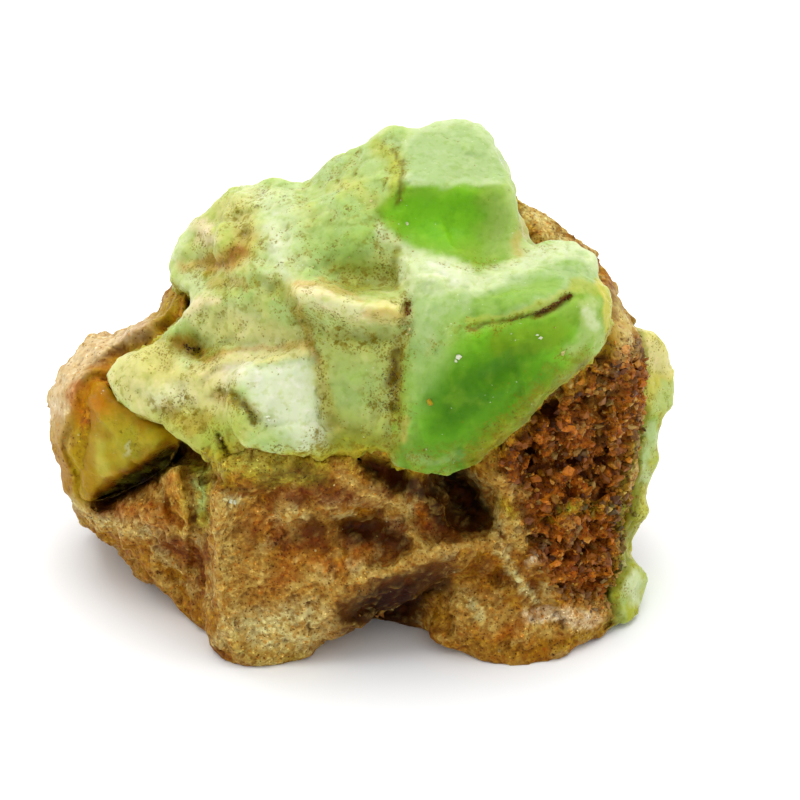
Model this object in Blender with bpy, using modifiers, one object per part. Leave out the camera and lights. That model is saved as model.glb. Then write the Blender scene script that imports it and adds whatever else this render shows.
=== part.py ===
"""A green mineral specimen on its matrix, a hand-sized piece about 63 mm wide.

A waxy green mass, grown over the top and front of a rusty rock, is the main piece. A thin green
vein runs down the right flank of the rock, and a yellow-green nodule shows in its left end.

Each piece is a heap of convex lumps. A lump is given by the corners of the face that is seen from
the front, and it reaches back from there into the rock. The lumps of a piece are fused, pressed
in and out along a few strokes, weathered and thinned to few faces. The rock is then cut to leave
room for what grew in it, and its feet are worn flat where they stand.

Run it with: blender --background --python part.py
"""

import math

import bmesh
import bpy
from mathutils import Matrix, Vector, noise
from mathutils.geometry import intersect_point_line

MM = 0.001

# Driving dimensions, in millimetres. The specimen is described as it is seen from the front, from
# VIEW_TILT above the table and VIEW_DISTANCE away. A corner is (right, up, depth): right and up are
# measured on the picture plane, which stands square to the line of sight in the front foot, and
# depth is how far behind the front foot the corner lies.
VIEW_TILT = math.radians(28)
VIEW_DISTANCE = 400.0
VIEW_CENTRE = (3.9, 26.3)  # where the line of sight meets the picture plane
FUSE_CELL = 0.7  # size of the cells that fuse the lumps
SOCKET_GAP = 0.6  # room left in the rock round each piece that grew in it
BACK_GRAIN = 7.0  # size of the bumps on the sides that are not seen from the front
BACK_HEIGHT = 3.5  # how far they rise and sink
FLOOR_SLAB = 20.0  # thickness of the slab that wears the feet flat
FLOOR_REACH = 120.0  # its length and width
VEIN_LEVEL = 0.5  # how far above the table the vein ends
GREEN_FACES = 3200
VEIN_FACES = 600
NODULE_FACES = 300
ROCK_FACES = 5200
ORIGIN_SHIFT = (0.35, -22.11, 0.0)  # moves the middle of the specimen's footprint onto the origin

RIGHTWARDS = Vector((1, 0, 0))
UPWARDS = Vector((0, math.sin(VIEW_TILT), math.cos(VIEW_TILT)))
AWAY = Vector((0, math.cos(VIEW_TILT), -math.sin(VIEW_TILT)))
EYE = RIGHTWARDS * VIEW_CENTRE[0] + UPWARDS * VIEW_CENTRE[1] - AWAY * VIEW_DISTANCE

# Lumps of each piece: how far the lump reaches back, then the corners of its face
GREEN_LUMPS = {
    "upper block": (15, [
        (1.9, 44.8, 11), (3.7, 42.3, 9), (7.9, 40.7, 8.5), (15.9, 41.1, 11), (16.2, 43.8, 14),
        (14.9, 47.3, 13.5), (3.7, 47.7, 12.5), (3.9, 52.3, 20), (7.9, 54.2, 24), (12.1, 54.2, 24),
        (13.7, 51.3, 20),
    ]),
    "left slope": (14, [
        (-11.1, 48.0, 22), (-6.1, 48.0, 20), (-1.6, 51.1, 21), (3.7, 53.1, 21), (3.7, 47.7, 13.5),
        (1.7, 43.8, 10.5), (3.9, 40.1, 8), (3.4, 36.3, 6), (-6.1, 38.0, 7.5), (-12.1, 37.3, 10),
        (-14.6, 41.3, 14), (-13.6, 44.8, 18),
    ]),
    "upper left lump": (12, [
        (-19.1, 40.8, 22), (-18.9, 37.8, 20), (-17.6, 43.1, 23), (-14.6, 46.6, 24),
        (-11.1, 48.0, 23), (-9.9, 45.3, 18.5), (-11.1, 41.8, 14), (-13.6, 37.3, 12),
        (-17.1, 36.5, 16),
    ]),
    "middle ledge": (12, [
        (-18.1, 34.3, 14), (-15.6, 36.8, 12), (-11.1, 37.1, 9), (-5.6, 36.3, 5.5),
        (-3.1, 31.8, 4.5), (-4.6, 30.3, 5), (-13.1, 30.8, 8), (-19.6, 31.8, 13),
    ]),
    "left shelf": (9, [
        (-25.6, 28.5, 12), (-23.6, 31.3, 14), (-19.1, 31.8, 11), (-12.6, 30.1, 6),
        (-11.1, 26.3, 3), (-12.6, 20.3, 0.5), (-14.8, 20.1, 1.5), (-19.6, 23.8, 6),
        (-23.6, 26.1, 10),
    ]),
    "pale lobe": (11, [
        (-12.6, 28.8, 4), (-9.9, 30.6, 3.5), (-6.1, 31.0, 3.5), (-4.1, 28.5, 2.0),
        (-3.6, 22.3, -1.0), (-3.1, 20.8, -0.5), (-7.1, 21.3, -2.2), (-11.6, 21.8, -1.7),
        (-13.6, 24.3, 0),
    ]),
    "ridge and wall": (12, [
        (-6.4, 38.0, 6.5), (-4.1, 37.5, 5), (-1.6, 36.3, 4), (3.9, 36.1, 3.5), (4.4, 34.3, 2.5),
        (3.9, 22.3, -0.5), (-1.6, 20.5, 0), (-3.6, 22.3, 0.5), (-5.6, 31.3, 3), (-6.1, 35.3, 4.5),
    ]),
    "right lobe": (13, [
        (4.2, 36.1, 3), (3.9, 33.3, 1.5), (2.9, 22.3, -2), (3.1, 19.8, -1.5), (7.9, 19.0, -2),
        (11.4, 20.1, -1.5), (13.9, 23.3, -1), (19.4, 28.1, 1), (23.9, 31.8, 4), (25.2, 34.5, 6.5),
        (25.1, 37.8, 8), (23.7, 40.8, 11), (21.4, 42.4, 13), (18.4, 41.7, 12), (13.9, 39.5, 9),
        (10.9, 37.8, 6), (6.9, 36.3, 3.5), (10.9, 31.8, -1), (21.4, 36.8, 3.5),
    ]),
    "saddle": (10, [
        (3.9, 40.5, 7.5), (3.9, 36.3, 3.5), (6.9, 35.8, 3), (10.9, 37.8, 5), (11.9, 39.5, 8),
        (7.9, 40.5, 8.5),
    ]),
}

VEIN_LUMPS = {
    "top": (8, [
        (27.0, 34.3, 17), (29.1, 33.0, 17.5), (31.8, 30.0, 18), (31.7, 27.3, 17.5),
        (30.4, 24.9, 15.5), (27.5, 24.8, 13.5), (26.7, 31.8, 14.5),
    ]),
    "strip": (9, [
        (27.2, 27.3, 13.5), (30.4, 25.6, 15), (29.9, 21.0, 14), (29.0, 16.3, 12.5),
        (28.0, 11.8, 11.5), (27.2, 10.4, 10.5), (25.9, 11.2, 9.5), (26.9, 18.3, 11.5),
        (27.2, 24.3, 12.5),
    ]),
    "foot": (9, [
        (26.0, 13.3, 10), (27.8, 13.3, 11.5), (28.4, 9.3, 11), (28.4, 6.9, 10), (27.9, 5.0, 8.5),
        (25.3, 3.2, 5.5), (24.2, 5.6, 5), (25.2, 10.3, 7.5),
    ]),
}

NODULE_LUMPS = {
    "nodule": (7, [
        (-27.3, 26.8, 13), (-25.1, 27.8, 12.5), (-23.1, 25.8, 11), (-19.6, 23.5, 9),
        (-18.3, 21.3, 8.5), (-19.6, 19.5, 8.5), (-23.1, 17.3, 11), (-25.6, 16.3, 12.5),
        (-27.6, 16.8, 13), (-28.3, 19.3, 13), (-28.1, 23.3, 13), (-23.8, 22.3, 9.8),
    ]),
}

ROCK_LUMPS = {
    "left rim": (12, [
        (-32.0, 26.1, 20), (-31.0, 29.0, 21), (-28.9, 31.9, 22), (-26.5, 33.1, 22),
        (-22.8, 34.3, 21), (-19.5, 35.2, 20), (-18.3, 36.8, 20), (-23.1, 31.8, 17),
        (-26.1, 29.1, 15), (-27.6, 26.8, 13.5), (-28.6, 22.3, 14), (-28.1, 17.3, 14),
        (-29.9, 21.8, 18), (-31.1, 23.8, 20),
    ]),
    "left neck": (12, [
        (-21.5, 33.5, 18), (-17.6, 38.6, 21), (-12.0, 40.0, 20), (-13.0, 31.0, 15),
        (-23.0, 27.0, 16),
    ]),
    "left base": (10, [
        (-30.1, 19.3, 17), (-29.2, 14.6, 20), (-26.4, 12.0, 17), (-23.4, 9.8, 15),
        (-19.9, 7.1, 10), (-15.5, 3.8, 6), (-10, 4, 6), (-10, 19, 4.5), (-19.1, 19.3, 8.5),
        (-24.1, 16.3, 12), (-26.6, 15.8, 13.5),
    ]),
    "left buttress": (14, [
        (-14.6, 16.3, 0.5), (-13.6, 20.5, 0.5), (-3.1, 22.3, 0.5), (4.0, 20.5, 1.0),
        (-14.6, 6.3, 2.5), (-15.1, 3.1, 2.5), (-13.3, 0.0, 1.5), (-11.1, -1.0, 0.5),
        (-7.1, -0.2, 0), (-3.6, 1.9, 0.5), (-2.6, 5.3, 1), (5.9, 8.8, 0.5), (10.9, 11.1, 1.5),
    ]),
    "middle front": (14, [
        (-3.1, 20.3, 2.0), (13.9, 21.3, 4.5), (15.9, 10.3, 4), (10.9, 10.8, 2.5), (5.9, 8.5, 3),
        (-2.1, 5.3, 6), (4.0, 4.8, 9), (8.0, 4.6, 8),
    ]),
    "right foot": (15, [
        (6.9, 6.3, 4.5), (7.1, 4.1, 3), (8.9, 2.2, 1.5), (12.9, 0.0, 0.5), (15.9, -1.2, 0),
        (20.2, 0.0, 1), (24.9, 2.8, 5), (26.3, 4.5, 7), (26.6, 7.8, 8), (26.0, 11.8, 8.5),
        (19.9, 10.3, 3.5), (13.9, 10.3, 3), (7.9, 7.3, 4),
    ]),
    "right face": (18, [
        (11.9, 20.3, 3.5), (13.9, 24.3, 2.5), (19.9, 28.8, 3.5), (25.1, 34.3, 8),
        (26.9, 34.0, 11), (27.6, 26.3, 11.5), (27.2, 21.3, 10.5), (26.3, 14.3, 8.5),
        (25.9, 11.8, 8), (19.9, 6.3, 2.5), (15.9, 6.3, 2.5),
    ]),
    "right neck": (14, [
        (21.0, 41.0, 16), (25.0, 38.8, 15), (27.2, 35.2, 14), (27.0, 30.0, 13), (21.0, 30.0, 10),
    ]),
    "back shoulder": (16, [
        (15.5, 47.0, 25), (18.4, 44.6, 25), (20.7, 42.3, 24), (23.9, 40.1, 22),
        (25.9, 37.3, 20), (27.1, 33.8, 18), (22.0, 36.0, 15), (10.0, 42.0, 20),
    ]),
}

# What the viewer can't see: lumps by their corners as (x, y, z), where y runs back from the front
# foot and z up from the table
GREEN_CROWN = [
    (-13, 26, 38), (-6, 24, 41), (4, 25, 46), (12, 27, 46), (14.5, 31, 41), (8, 36, 37),
    (-3, 36, 34), (-12, 32, 31), (-16, 27, 31), (16, 24, 33), (-10, 20, 30), (18, 16, 30),
    (8, 12, 34),
]
ROCK_HEART = {
    "core": [
        (-18, 12, 2), (-22, 22, 3), (-20, 32, 6), (-10, 38, 3), (8, 40, 3), (20, 34, 3),
        (26, 22, 3), (24, 12, 3), (14, 5, 4), (-10, 7, 4), (-22, 20, 25), (-17, 31, 27),
        (-2, 35, 32), (14, 33, 34), (24, 24, 31), (25, 15, 26), (10, 7, 30), (-8, 7, 28),
    ],
    "back hump": [
        (-15, 33, 30), (-16, 38, 22), (-12, 39, 10), (-2, 43, 12), (4, 43, 24), (12, 40, 31),
        (13, 38, 8), (0, 38, 34), (-8, 30, 33), (14, 32, 37),
    ],
    "left back": [
        (-28, 24, 8), (-30, 30, 12), (-27, 35, 17), (-20, 37, 10), (-15, 34, 26), (-24, 30, 24),
        (-18, 24, 30), (-16, 30, 4),
    ],
    "right back": [
        (27, 20, 10), (28, 28, 14), (25, 34, 20), (18, 38, 12), (20, 36, 28), (25, 28, 29),
        (26, 20, 26), (16, 24, 5), (24, 27, 5), (14, 30, 36),
    ],
    "back foot": [(-9, 30, -1), (7, 31, -1), (5, 39, -1), (-6, 38, -1), (-10, 40, 9), (9, 41, 9)],
    "low knob": [
        (-15, 36, 6), (-8, 44, 5), (0, 45, 4), (5, 40, 8), (-4, 46, 12), (-12, 43, 15), (-2, 38, 17),
    ],
    "shelf at the back": [
        (2, 40, 15), (8, 45, 18), (17, 41, 19), (14, 38, 28), (4, 42, 28), (-2, 40, 23),
    ],
    "right knob": [
        (14, 34, 1), (22, 36, 3), (26, 30, 8), (21, 38, 12), (12, 40, 8), (25, 27, 4), (20, 36, 17),
    ],
    "left knob": [
        (-21, 29, 19), (-18, 37, 17), (-13, 41, 22), (-7, 39, 31), (-13, 30, 32), (-20, 31, 21),
    ],
}

# Strokes: how deep a stroke presses in, or out if it is negative, its half width, then the line on
# the picture plane that it follows
GREEN_STROKES = {
    "seam left of the lobe": (1.3, 1.6, [(4.2, 36.0), (4.4, 32.0), (3.6, 27.0), (3.4, 21.5)]),
    "seam right of the pale lobe": (0.9, 1.4, [(-4.3, 32.0), (-3.6, 28.0), (-3.9, 23.5)]),
    "trough behind the ridge": (1.2, 1.6, [(-5.0, 39.6), (-1.5, 38.0), (3.4, 37.8)]),
    "crest of the ridge": (-0.7, 1.4, [(-6.0, 37.5), (-3.0, 36.2), (0.5, 35.2), (3.2, 35.3)]),
    "pit in the shelf": (1.8, 2.0, [(-19.5, 31.0), (-17.0, 31.0)]),
    "cleft of the upper left lump": (1.0, 1.8, [(-12.0, 42.8), (-14.2, 40.0), (-17.5, 39.3)]),
    "brow over the dark face": (-0.5, 1.2, [(4.0, 47.8), (9.5, 47.2), (14.8, 47.6)]),
    "hollow of the dark face": (0.9, 3.5, [(5.5, 44.5), (12.0, 44.0)]),
    "crack in the lobe": (0.6, 1.0, [(12.0, 32.0), (17.0, 33.8), (21.4, 36.8)]),
}
ROCK_STROKES = {
    "hole under the lobe": (4.0, 3.6, [(8.5, 17.5), (10.0, 16.5)]),
    "hole left of the lobe": (1.8, 1.5, [(2.3, 19.4), (3.0, 18.0)]),
    "crevice under the nodule": (3.0, 1.6, [(-25.0, 15.8), (-21.5, 18.5), (-19.0, 20.2)]),
    "hollow beside the buttress": (2.2, 2.0, [(-19.0, 11.2), (-15.6, 10.3)]),
    "hollow in the middle": (1.6, 3.2, [(-1.0, 14.2), (4.0, 15.0)]),
    "ledge": (-0.9, 1.3, [(-2.4, 5.8), (1.0, 7.4), (6.0, 9.0), (11.0, 11.0)]),
    "recess under the ledge": (2.0, 1.8, [(0.0, 5.0), (4.0, 6.4), (7.0, 7.2)]),
    "rusty hollow": (1.5, 6.0, [(17.0, 16.0), (20.0, 22.0)]),
    "edge of the buttress": (-0.7, 1.5, [(-14.0, 16.0), (-14.4, 9.0), (-14.0, 3.0)]),
}


def on_picture(right, up):
    """The place on the picture plane that is this far right and up of the front foot."""
    return RIGHTWARDS * right + UPWARDS * up


def seen_at(right, up, depth):
    """The place that is seen at (right, up) and lies at this depth behind the front foot."""
    sight = on_picture(right, up) - EYE
    return EYE + sight * (depth - EYE.y) / sight.y


def picture_place(point):
    """Where on the picture plane a point is seen, as a vector (right, up)."""
    sight = point / MM - EYE
    met = EYE + sight * VIEW_DISTANCE / sight.dot(AWAY)
    return Vector((met.dot(RIGHTWARDS), met.dot(UPWARDS)))


def hull(name, corners):
    """A convex solid round these corners."""
    mesh = bpy.data.meshes.new(name)
    shape = bmesh.new()
    for corner in corners:
        shape.verts.new(Vector(corner) * MM)
    bmesh.ops.convex_hull(shape, input=shape.verts)
    inside = [vert for vert in shape.verts if not vert.link_faces]
    bmesh.ops.delete(shape, geom=inside, context="VERTS")
    bmesh.ops.recalc_face_normals(shape, faces=shape.faces)
    shape.to_mesh(mesh)
    shape.free()
    return mesh


def lump(name, reach, corners, taper=0.8):
    """A lump with this face towards the viewer, narrower at its back, this far away."""
    face = [seen_at(*corner) for corner in corners]
    middle = sum(face, Vector()) / len(face)
    back = [middle + (point - middle) * taper + AWAY * reach for point in face]
    return hull(name, face + back)


def lumps_of(faces):
    """The lumps that a table of faces describes."""
    return [lump(name, reach, corners) for name, (reach, corners) in faces.items()]


def heaped(name, lumps):
    """One mesh that holds all these lumps."""
    mesh = bpy.data.meshes.new(name)
    heap = bmesh.new()
    for part in lumps:
        heap.from_mesh(part)
    heap.to_mesh(mesh)
    heap.free()
    return mesh


def worked(mesh, *tools):
    """What becomes of a mesh that these tools work on in turn."""
    blank = bpy.data.objects.new(mesh.name, mesh)
    bpy.context.scene.collection.objects.link(blank)
    for tool, settings in tools:
        tool(blank, **settings)
    graph = bpy.context.evaluated_depsgraph_get()
    made = bpy.data.meshes.new_from_object(blank.evaluated_get(graph))
    bpy.data.objects.remove(blank)
    return made


def fuse(blank):
    """Makes one skin of all the lumps that overlap."""
    step = blank.modifiers.new("fuse", "REMESH")
    step.mode = "VOXEL"
    step.voxel_size = FUSE_CELL * MM


def roughen(blank, grain, height):
    """Raises and sinks the skin in bumps of this grain, a little more out than in."""
    clouds = bpy.data.textures.new(blank.name + "_clouds", "CLOUDS")
    clouds.noise_scale = grain * MM
    clouds.noise_depth = 2
    step = blank.modifiers.new("roughen", "DISPLACE")
    step.texture = clouds
    step.texture_coords = "LOCAL"
    step.mid_level = 0.1
    step.strength = height * MM


def soften(blank, rounds):
    """Rounds off the edges, a little more each round."""
    step = blank.modifiers.new("soften", "SMOOTH")
    step.factor = 0.5
    step.iterations = rounds


def swell(blank, by):
    """Moves the skin out by this many millimetres."""
    step = blank.modifiers.new("swell", "DISPLACE")
    step.mid_level = 0
    step.strength = by * MM


def thin(blank, share):
    """Keeps this share of the faces."""
    step = blank.modifiers.new("thin", "DECIMATE")
    step.ratio = share


def cut(blank, cutter):
    """Takes away what lies inside the cutter."""
    step = blank.modifiers.new("cut", "BOOLEAN")
    step.operation = "DIFFERENCE"
    step.object = cutter


def distance_to_line(place, line):
    """How far a place on the picture lies from a line of straight runs."""
    nearest = math.inf
    for start, end in zip(line, line[1:]):
        start, end = Vector(start), Vector(end)
        closest, along = intersect_point_line(place, start, end)
        closest = start.lerp(end, min(max(along, 0.0), 1.0))
        nearest = min(nearest, (place - closest).length)
    return nearest


def rumple(mesh, grain, height):
    """Raises and sinks what the viewer does not see of a mesh, in bumps of this grain."""
    for vertex in mesh.vertices:
        hidden = min(max(vertex.normal.dot(AWAY), 0.0), 1.0)
        vertex.co += vertex.normal * noise.noise(vertex.co / grain / MM) * height * hidden * MM


def press(mesh, strokes):
    """Presses what the viewer sees of a mesh in and out along the strokes."""
    for vertex in mesh.vertices:
        if vertex.normal.dot(AWAY) > 0:
            continue
        place = picture_place(vertex.co)
        for depth, half_width, line in strokes.values():
            near = 1 - (distance_to_line(place, line) / half_width) ** 2
            if near > 0:
                vertex.co += AWAY * depth * near * near * MM


def thinned(mesh, faces):
    """The mesh with about this many faces, and without the chips that come off it."""
    mesh = worked(mesh, (thin, {"share": faces / 2 / len(mesh.polygons)}))
    shape = bmesh.new()
    shape.from_mesh(mesh)
    left = set(shape.verts)
    bodies = []
    while left:
        body = {left.pop()}
        front = list(body)
        while front:
            near = [edge.other_vert(vert) for vert in front for edge in vert.link_edges]
            front = [vert for vert in set(near) if vert not in body]
            body.update(front)
        left -= body
        bodies.append(body)
    largest = max(bodies, key=len)
    chips = [vert for vert in shape.verts if vert not in largest]
    bmesh.ops.delete(shape, geom=chips, context="VERTS")
    shape.to_mesh(mesh)
    shape.free()
    return mesh


def grown(name, lumps, strokes, grain, height, rounds):
    """The skin of one piece: its lumps fused, pressed, roughened and softened."""
    mesh = worked(heaped(name, lumps), (fuse, {}))
    press(mesh, strokes)
    rumple(mesh, BACK_GRAIN, BACK_HEIGHT)
    mesh.name = name
    return worked(
        mesh, (roughen, {"grain": grain, "height": height}), (soften, {"rounds": rounds}),
        (fuse, {}),
    )


def without_room_for(host, skins):
    """A piece with room cut in it for each of these others, and a gap all round them."""
    for skin in skins:
        room = worked(skin, (swell, {"by": SOCKET_GAP}), (fuse, {}))
        room = bpy.data.objects.new("room", room)
        bpy.context.scene.collection.objects.link(room)
        host = worked(host, (cut, {"cutter": room}))
        bpy.data.objects.remove(room)
    return worked(host, (fuse, {}), (soften, {"rounds": 1}))


def worn_flat(skin, level=0.0):
    """A piece without all that reaches below this level."""
    bpy.ops.mesh.primitive_cube_add(size=1, location=(0, 0, (level - FLOOR_SLAB / 2) * MM))
    slab = bpy.context.object
    slab.scale = (FLOOR_REACH * MM, FLOOR_REACH * MM, FLOOR_SLAB * MM)
    skin = worked(skin, (cut, {"cutter": slab}))
    bpy.data.objects.remove(slab)
    return skin


def finish_of(name, colour, roughness):
    """A plain material."""
    material = bpy.data.materials.new(name)
    material.use_nodes = True
    shader = material.node_tree.nodes["Principled BSDF"]
    shader.inputs["Base Color"].default_value = colour
    shader.inputs["Roughness"].default_value = roughness
    shader.inputs["Metallic"].default_value = 0.0
    return material


def place(name, mesh, material, collection):
    """Stands a piece on the table, with the middle of the specimen's footprint at the origin."""
    mesh.name = name
    mesh.transform(Matrix.Translation(Vector(ORIGIN_SHIFT) * MM))
    mesh.materials.clear()
    mesh.materials.append(material)
    collection.objects.link(bpy.data.objects.new(name, mesh))


def main():
    for obj in list(bpy.data.objects):
        bpy.data.objects.remove(obj)
    green = lumps_of(GREEN_LUMPS) + [hull("crown", GREEN_CROWN)]
    green = grown("green", green, GREEN_STROKES, grain=6, height=1.0, rounds=3)
    vein = grown("vein", lumps_of(VEIN_LUMPS), {}, grain=4, height=0.8, rounds=2)
    nodule = grown("nodule", lumps_of(NODULE_LUMPS), {}, grain=4, height=0.6, rounds=3)
    nodule = without_room_for(nodule, [green])
    rock = lumps_of(ROCK_LUMPS) + [hull(name, corners) for name, corners in ROCK_HEART.items()]
    rock = grown("rock", rock, ROCK_STROKES, grain=6, height=1.8, rounds=2)
    rock = without_room_for(rock, [green, vein, nodule])
    rock = worn_flat(thinned(rock, ROCK_FACES))

    collection = bpy.data.collections.new("green_specimen")
    bpy.context.scene.collection.children.link(collection)
    waxy = finish_of("waxy_green", (0.42, 0.66, 0.25, 1), 0.35)
    veined = finish_of("vein_green", (0.52, 0.68, 0.30, 1), 0.4)
    amber = finish_of("amber", (0.62, 0.47, 0.12, 1), 0.35)
    rusty = finish_of("rusty_rock", (0.45, 0.28, 0.12, 1), 0.8)
    place("green_mass", thinned(green, GREEN_FACES), waxy, collection)
    place("side_vein", worn_flat(thinned(vein, VEIN_FACES), VEIN_LEVEL), veined, collection)
    place("amber_nodule", thinned(nodule, NODULE_FACES), amber, collection)
    place("matrix", rock, rusty, collection)


main()
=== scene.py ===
"""Looks of a waxy green mineral specimen on its rusty rock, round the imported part.

Everything is in metres in the part's own frame. The pieces are described as the part is: by places
on the picture plane, which stands square to the line of sight in the front foot. A place is
(right, up) in millimetres, and a corner is (right, up, depth), with depth measured back from the
front foot.
"""

import math

import bmesh
import bpy
import numpy as np
from mathutils import Matrix, Vector, noise
from mathutils.bvhtree import BVHTree


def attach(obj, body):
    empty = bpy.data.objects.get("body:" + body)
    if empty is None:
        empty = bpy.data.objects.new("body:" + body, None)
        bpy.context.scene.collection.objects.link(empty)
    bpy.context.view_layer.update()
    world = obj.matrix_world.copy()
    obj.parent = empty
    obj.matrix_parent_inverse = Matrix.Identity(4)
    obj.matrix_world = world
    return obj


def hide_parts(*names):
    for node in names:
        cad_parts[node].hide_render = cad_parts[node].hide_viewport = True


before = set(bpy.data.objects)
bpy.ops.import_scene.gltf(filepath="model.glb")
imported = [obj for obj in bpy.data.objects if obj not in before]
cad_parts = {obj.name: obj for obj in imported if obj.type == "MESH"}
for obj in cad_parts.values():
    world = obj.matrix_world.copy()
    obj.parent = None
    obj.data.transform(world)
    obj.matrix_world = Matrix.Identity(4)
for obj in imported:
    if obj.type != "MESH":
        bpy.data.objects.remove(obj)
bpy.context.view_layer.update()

MM = 0.001
SAME_SPOT = 1e-6  # corners nearer than this, in metres, are one
TINY = 1e-9  # stands in for 0 where something is divided by it

# Every run throws the same dice
DICE = 11
noise.seed_set(DICE)

# The view that the specimen is described in, as in the part's source
VIEW_TILT = math.radians(28)
VIEW_DISTANCE = 400.0
VIEW_WIDTH = 80.0  # width of the picture at the front foot
VIEW_CENTRE = (3.9, 26.3)
ORIGIN_SHIFT = np.array((0.35, -22.11, 0.0))
RIGHTWARDS = np.array((1, 0, 0))
UPWARDS = np.array((0, math.sin(VIEW_TILT), math.cos(VIEW_TILT)))
AWAY = np.array((0, math.cos(VIEW_TILT), -math.sin(VIEW_TILT)))
EYE = RIGHTWARDS * VIEW_CENTRE[0] + UPWARDS * VIEW_CENTRE[1] - AWAY * VIEW_DISTANCE

# Size of the cells that each piece's skin is made of, in millimetres
ROCK_CELL = 0.39
GREEN_CELL = 0.31
SMALL_CELL = 0.3

# Paints, as the eye sees them under the lamps, from 0 to 255
PAINTS = {
    "milk": (232, 238, 204),
    "pale mint": (220, 232, 176),
    "mint": (190, 210, 126),
    "frost": (172, 198, 128),
    "cool green": (166, 200, 110),
    "leaf": (138, 182, 46),
    "deep green": (126, 196, 34),
    "bottle green": (74, 130, 4),
    "lime": (184, 188, 56),
    "moss": (140, 140, 20),
    "olive": (98, 82, 4),
    "straw": (216, 206, 88),
    "cream": (234, 222, 148),
    "bone": (212, 178, 92),
    "pink cream": (246, 222, 180),
    "tan": (180, 132, 46),
    "ochre": (176, 122, 10),
    "orange": (200, 114, 8),
    "rust": (122, 58, 3),
    "umber": (92, 52, 3),
    "dark rust": (58, 24, 1),
    "soot": (20, 8, 1),
    "speck": (146, 124, 10),
    "honey": (186, 154, 12),
}
PAINT_SHARE = 0.74  # how much darker they are themselves
SCREEN_CURVE = 2.2

# How the skins are pulled so that they fill the specimen's outline: (reach, place, pull), where the
# pull is right, up and away
PULLS = [
    # Along the top, from the left
    (2.6, (-15.4, 46.0), (0.2, -0.4, 0)),
    (4.6, (-5.6, 49.6), (0.1, -2.1, 0)),
    (2.6, (-10.6, 48.6), (0.1, -0.6, 0)),
    (3.2, (-1.0, 52.0), (0.0, -0.6, 0)),
    (3.4, (3.4, 53.2), (0.0, 0.7, 0)),
    (3.0, (17.4, 46.0), (-0.5, -0.6, 0)),
    (2.6, (24.6, 39.4), (-0.5, -0.2, 0)),
    # Down the right side
    (3.2, (27.4, 35.4), (-1.1, -0.4, 0)),
    (3.2, (31.4, 28.8), (-0.8, 0.0, 0)),
    (3.2, (30.4, 22.6), (-0.6, 0.0, 0)),
    (3.2, (29.2, 17.4), (-0.9, 0.0, 0)),
    (3.6, (28.8, 11.8), (-1.4, 0.0, 0)),
    (2.4, (28.2, 6.4), (-0.3, 0.5, 0)),
    (3.0, (22.6, 1.4), (-0.3, 0.5, 0)),
    # The feet
    (6.5, (13.6, 0.4), (0.0, -0.25, -0.45)),
    (4.0, (6.4, 2.4), (-0.5, -0.9, 0)),
    (5.0, (-11.0, 0.4), (0.0, -0.3, -0.5)),
    (2.6, (-3.2, 2.4), (-1.0, 0.3, 0)),
    # Up the left side
    (3.6, (-19.6, 6.4), (0.6, 0.5, 0)),
    (5.0, (-26.0, 11.0), (1.0, 1.1, 0)),
    (3.4, (-28.8, 15.4), (0.9, 0.2, 0)),
    (3.4, (-32.4, 25.4), (1.1, 0.0, 0)),
    (4.4, (-30.2, 31.0), (1.1, -0.7, 0)),
    (5.0, (-24.0, 34.8), (0.4, -1.9, 0)),
    (3.0, (-28.0, 32.6), (0.4, -0.6, 0)),
    (2.6, (-20.4, 36.6), (0.5, -0.8, 0)),
    # Smaller ones, up the left side and down the right
    (3.0, (-20.0, 8.4), (0.5, 0.4, 0)),
    (2.2, (-31.8, 28.4), (0.9, -0.2, 0)),
    (3.0, (-32.0, 25.0), (-0.3, 0.0, 0)),
    (2.2, (-23.2, 34.2), (-0.2, 0.8, 0)),
    (2.2, (-19.8, 35.4), (0.4, -0.7, 0)),
    (3.0, (-30.2, 19.8), (0.7, 0.2, 0)),
    (3.4, (-23.4, 9.2), (0.5, 0.5, 0)),
    (2.6, (25.6, 38.0), (-0.6, -0.3, 0)),
    (2.6, (19.8, 44.2), (-0.5, -0.4, 0)),
]


# Tools

def linear(paint):
    """A paint as the light values that a shader works with."""
    return PAINT_SHARE * np.array([(value / 255) ** SCREEN_CURVE for value in PAINTS[paint]])


def numbers_of(vectors, field):
    """A field of a mesh's vertices or normals as an array with a row for each."""
    values = np.empty(len(vectors) * 3, dtype=np.float32)
    vectors.foreach_get(field, values)
    return values.reshape(-1, 3).astype(np.float64)


def spots_of(mesh):
    """Where a mesh's vertices are, in millimetres from the front foot."""
    return numbers_of(mesh.vertices, "co") / MM - ORIGIN_SHIFT


def outward_of(mesh):
    """Which way the skin faces at each vertex."""
    return numbers_of(mesh.vertex_normals, "vector")


def put_spots(mesh, spots):
    """Moves a mesh's vertices to these places, none of them below the table."""
    spots[:, 2] = np.maximum(spots[:, 2], 0)
    mesh.vertices.foreach_set("co", ((spots + ORIGIN_SHIFT) * MM).astype(np.float32).ravel())
    mesh.update()


def sights_of(spots):
    """The line of sight to each spot, long enough to reach it."""
    return spots - EYE


def pictured(spots):
    """Where on the picture plane each spot is seen."""
    sights = sights_of(spots)
    met = EYE + sights * (VIEW_DISTANCE / (sights @ AWAY))[:, None]
    return np.stack((met @ RIGHTWARDS, met @ UPWARDS), axis=1)


def smooth_step(values, low, high):
    """0 up to low, 1 from high on, and a smooth change between them, also where low is the greater."""
    share = np.clip((values - low) / (high - low), 0, 1)
    return share * share * (3 - 2 * share)


def cloudy(spots, grain, octaves=3, seed=0.0):
    """Soft noise of this grain at each spot, from about -1 to 1."""
    moved = spots / grain + seed
    return np.array([noise.fractal(spot, 0.9, 2.0, octaves) for spot in moved])


def cracked(spots, grain, seed=0.0):
    """How far each spot is from the middle of its grain and from the next grain, in grains."""
    moved = spots / grain + seed
    found = np.array([noise.voronoi(spot)[0][:2] for spot in moved])
    return found[:, 0], found[:, 1] - found[:, 0]


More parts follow.
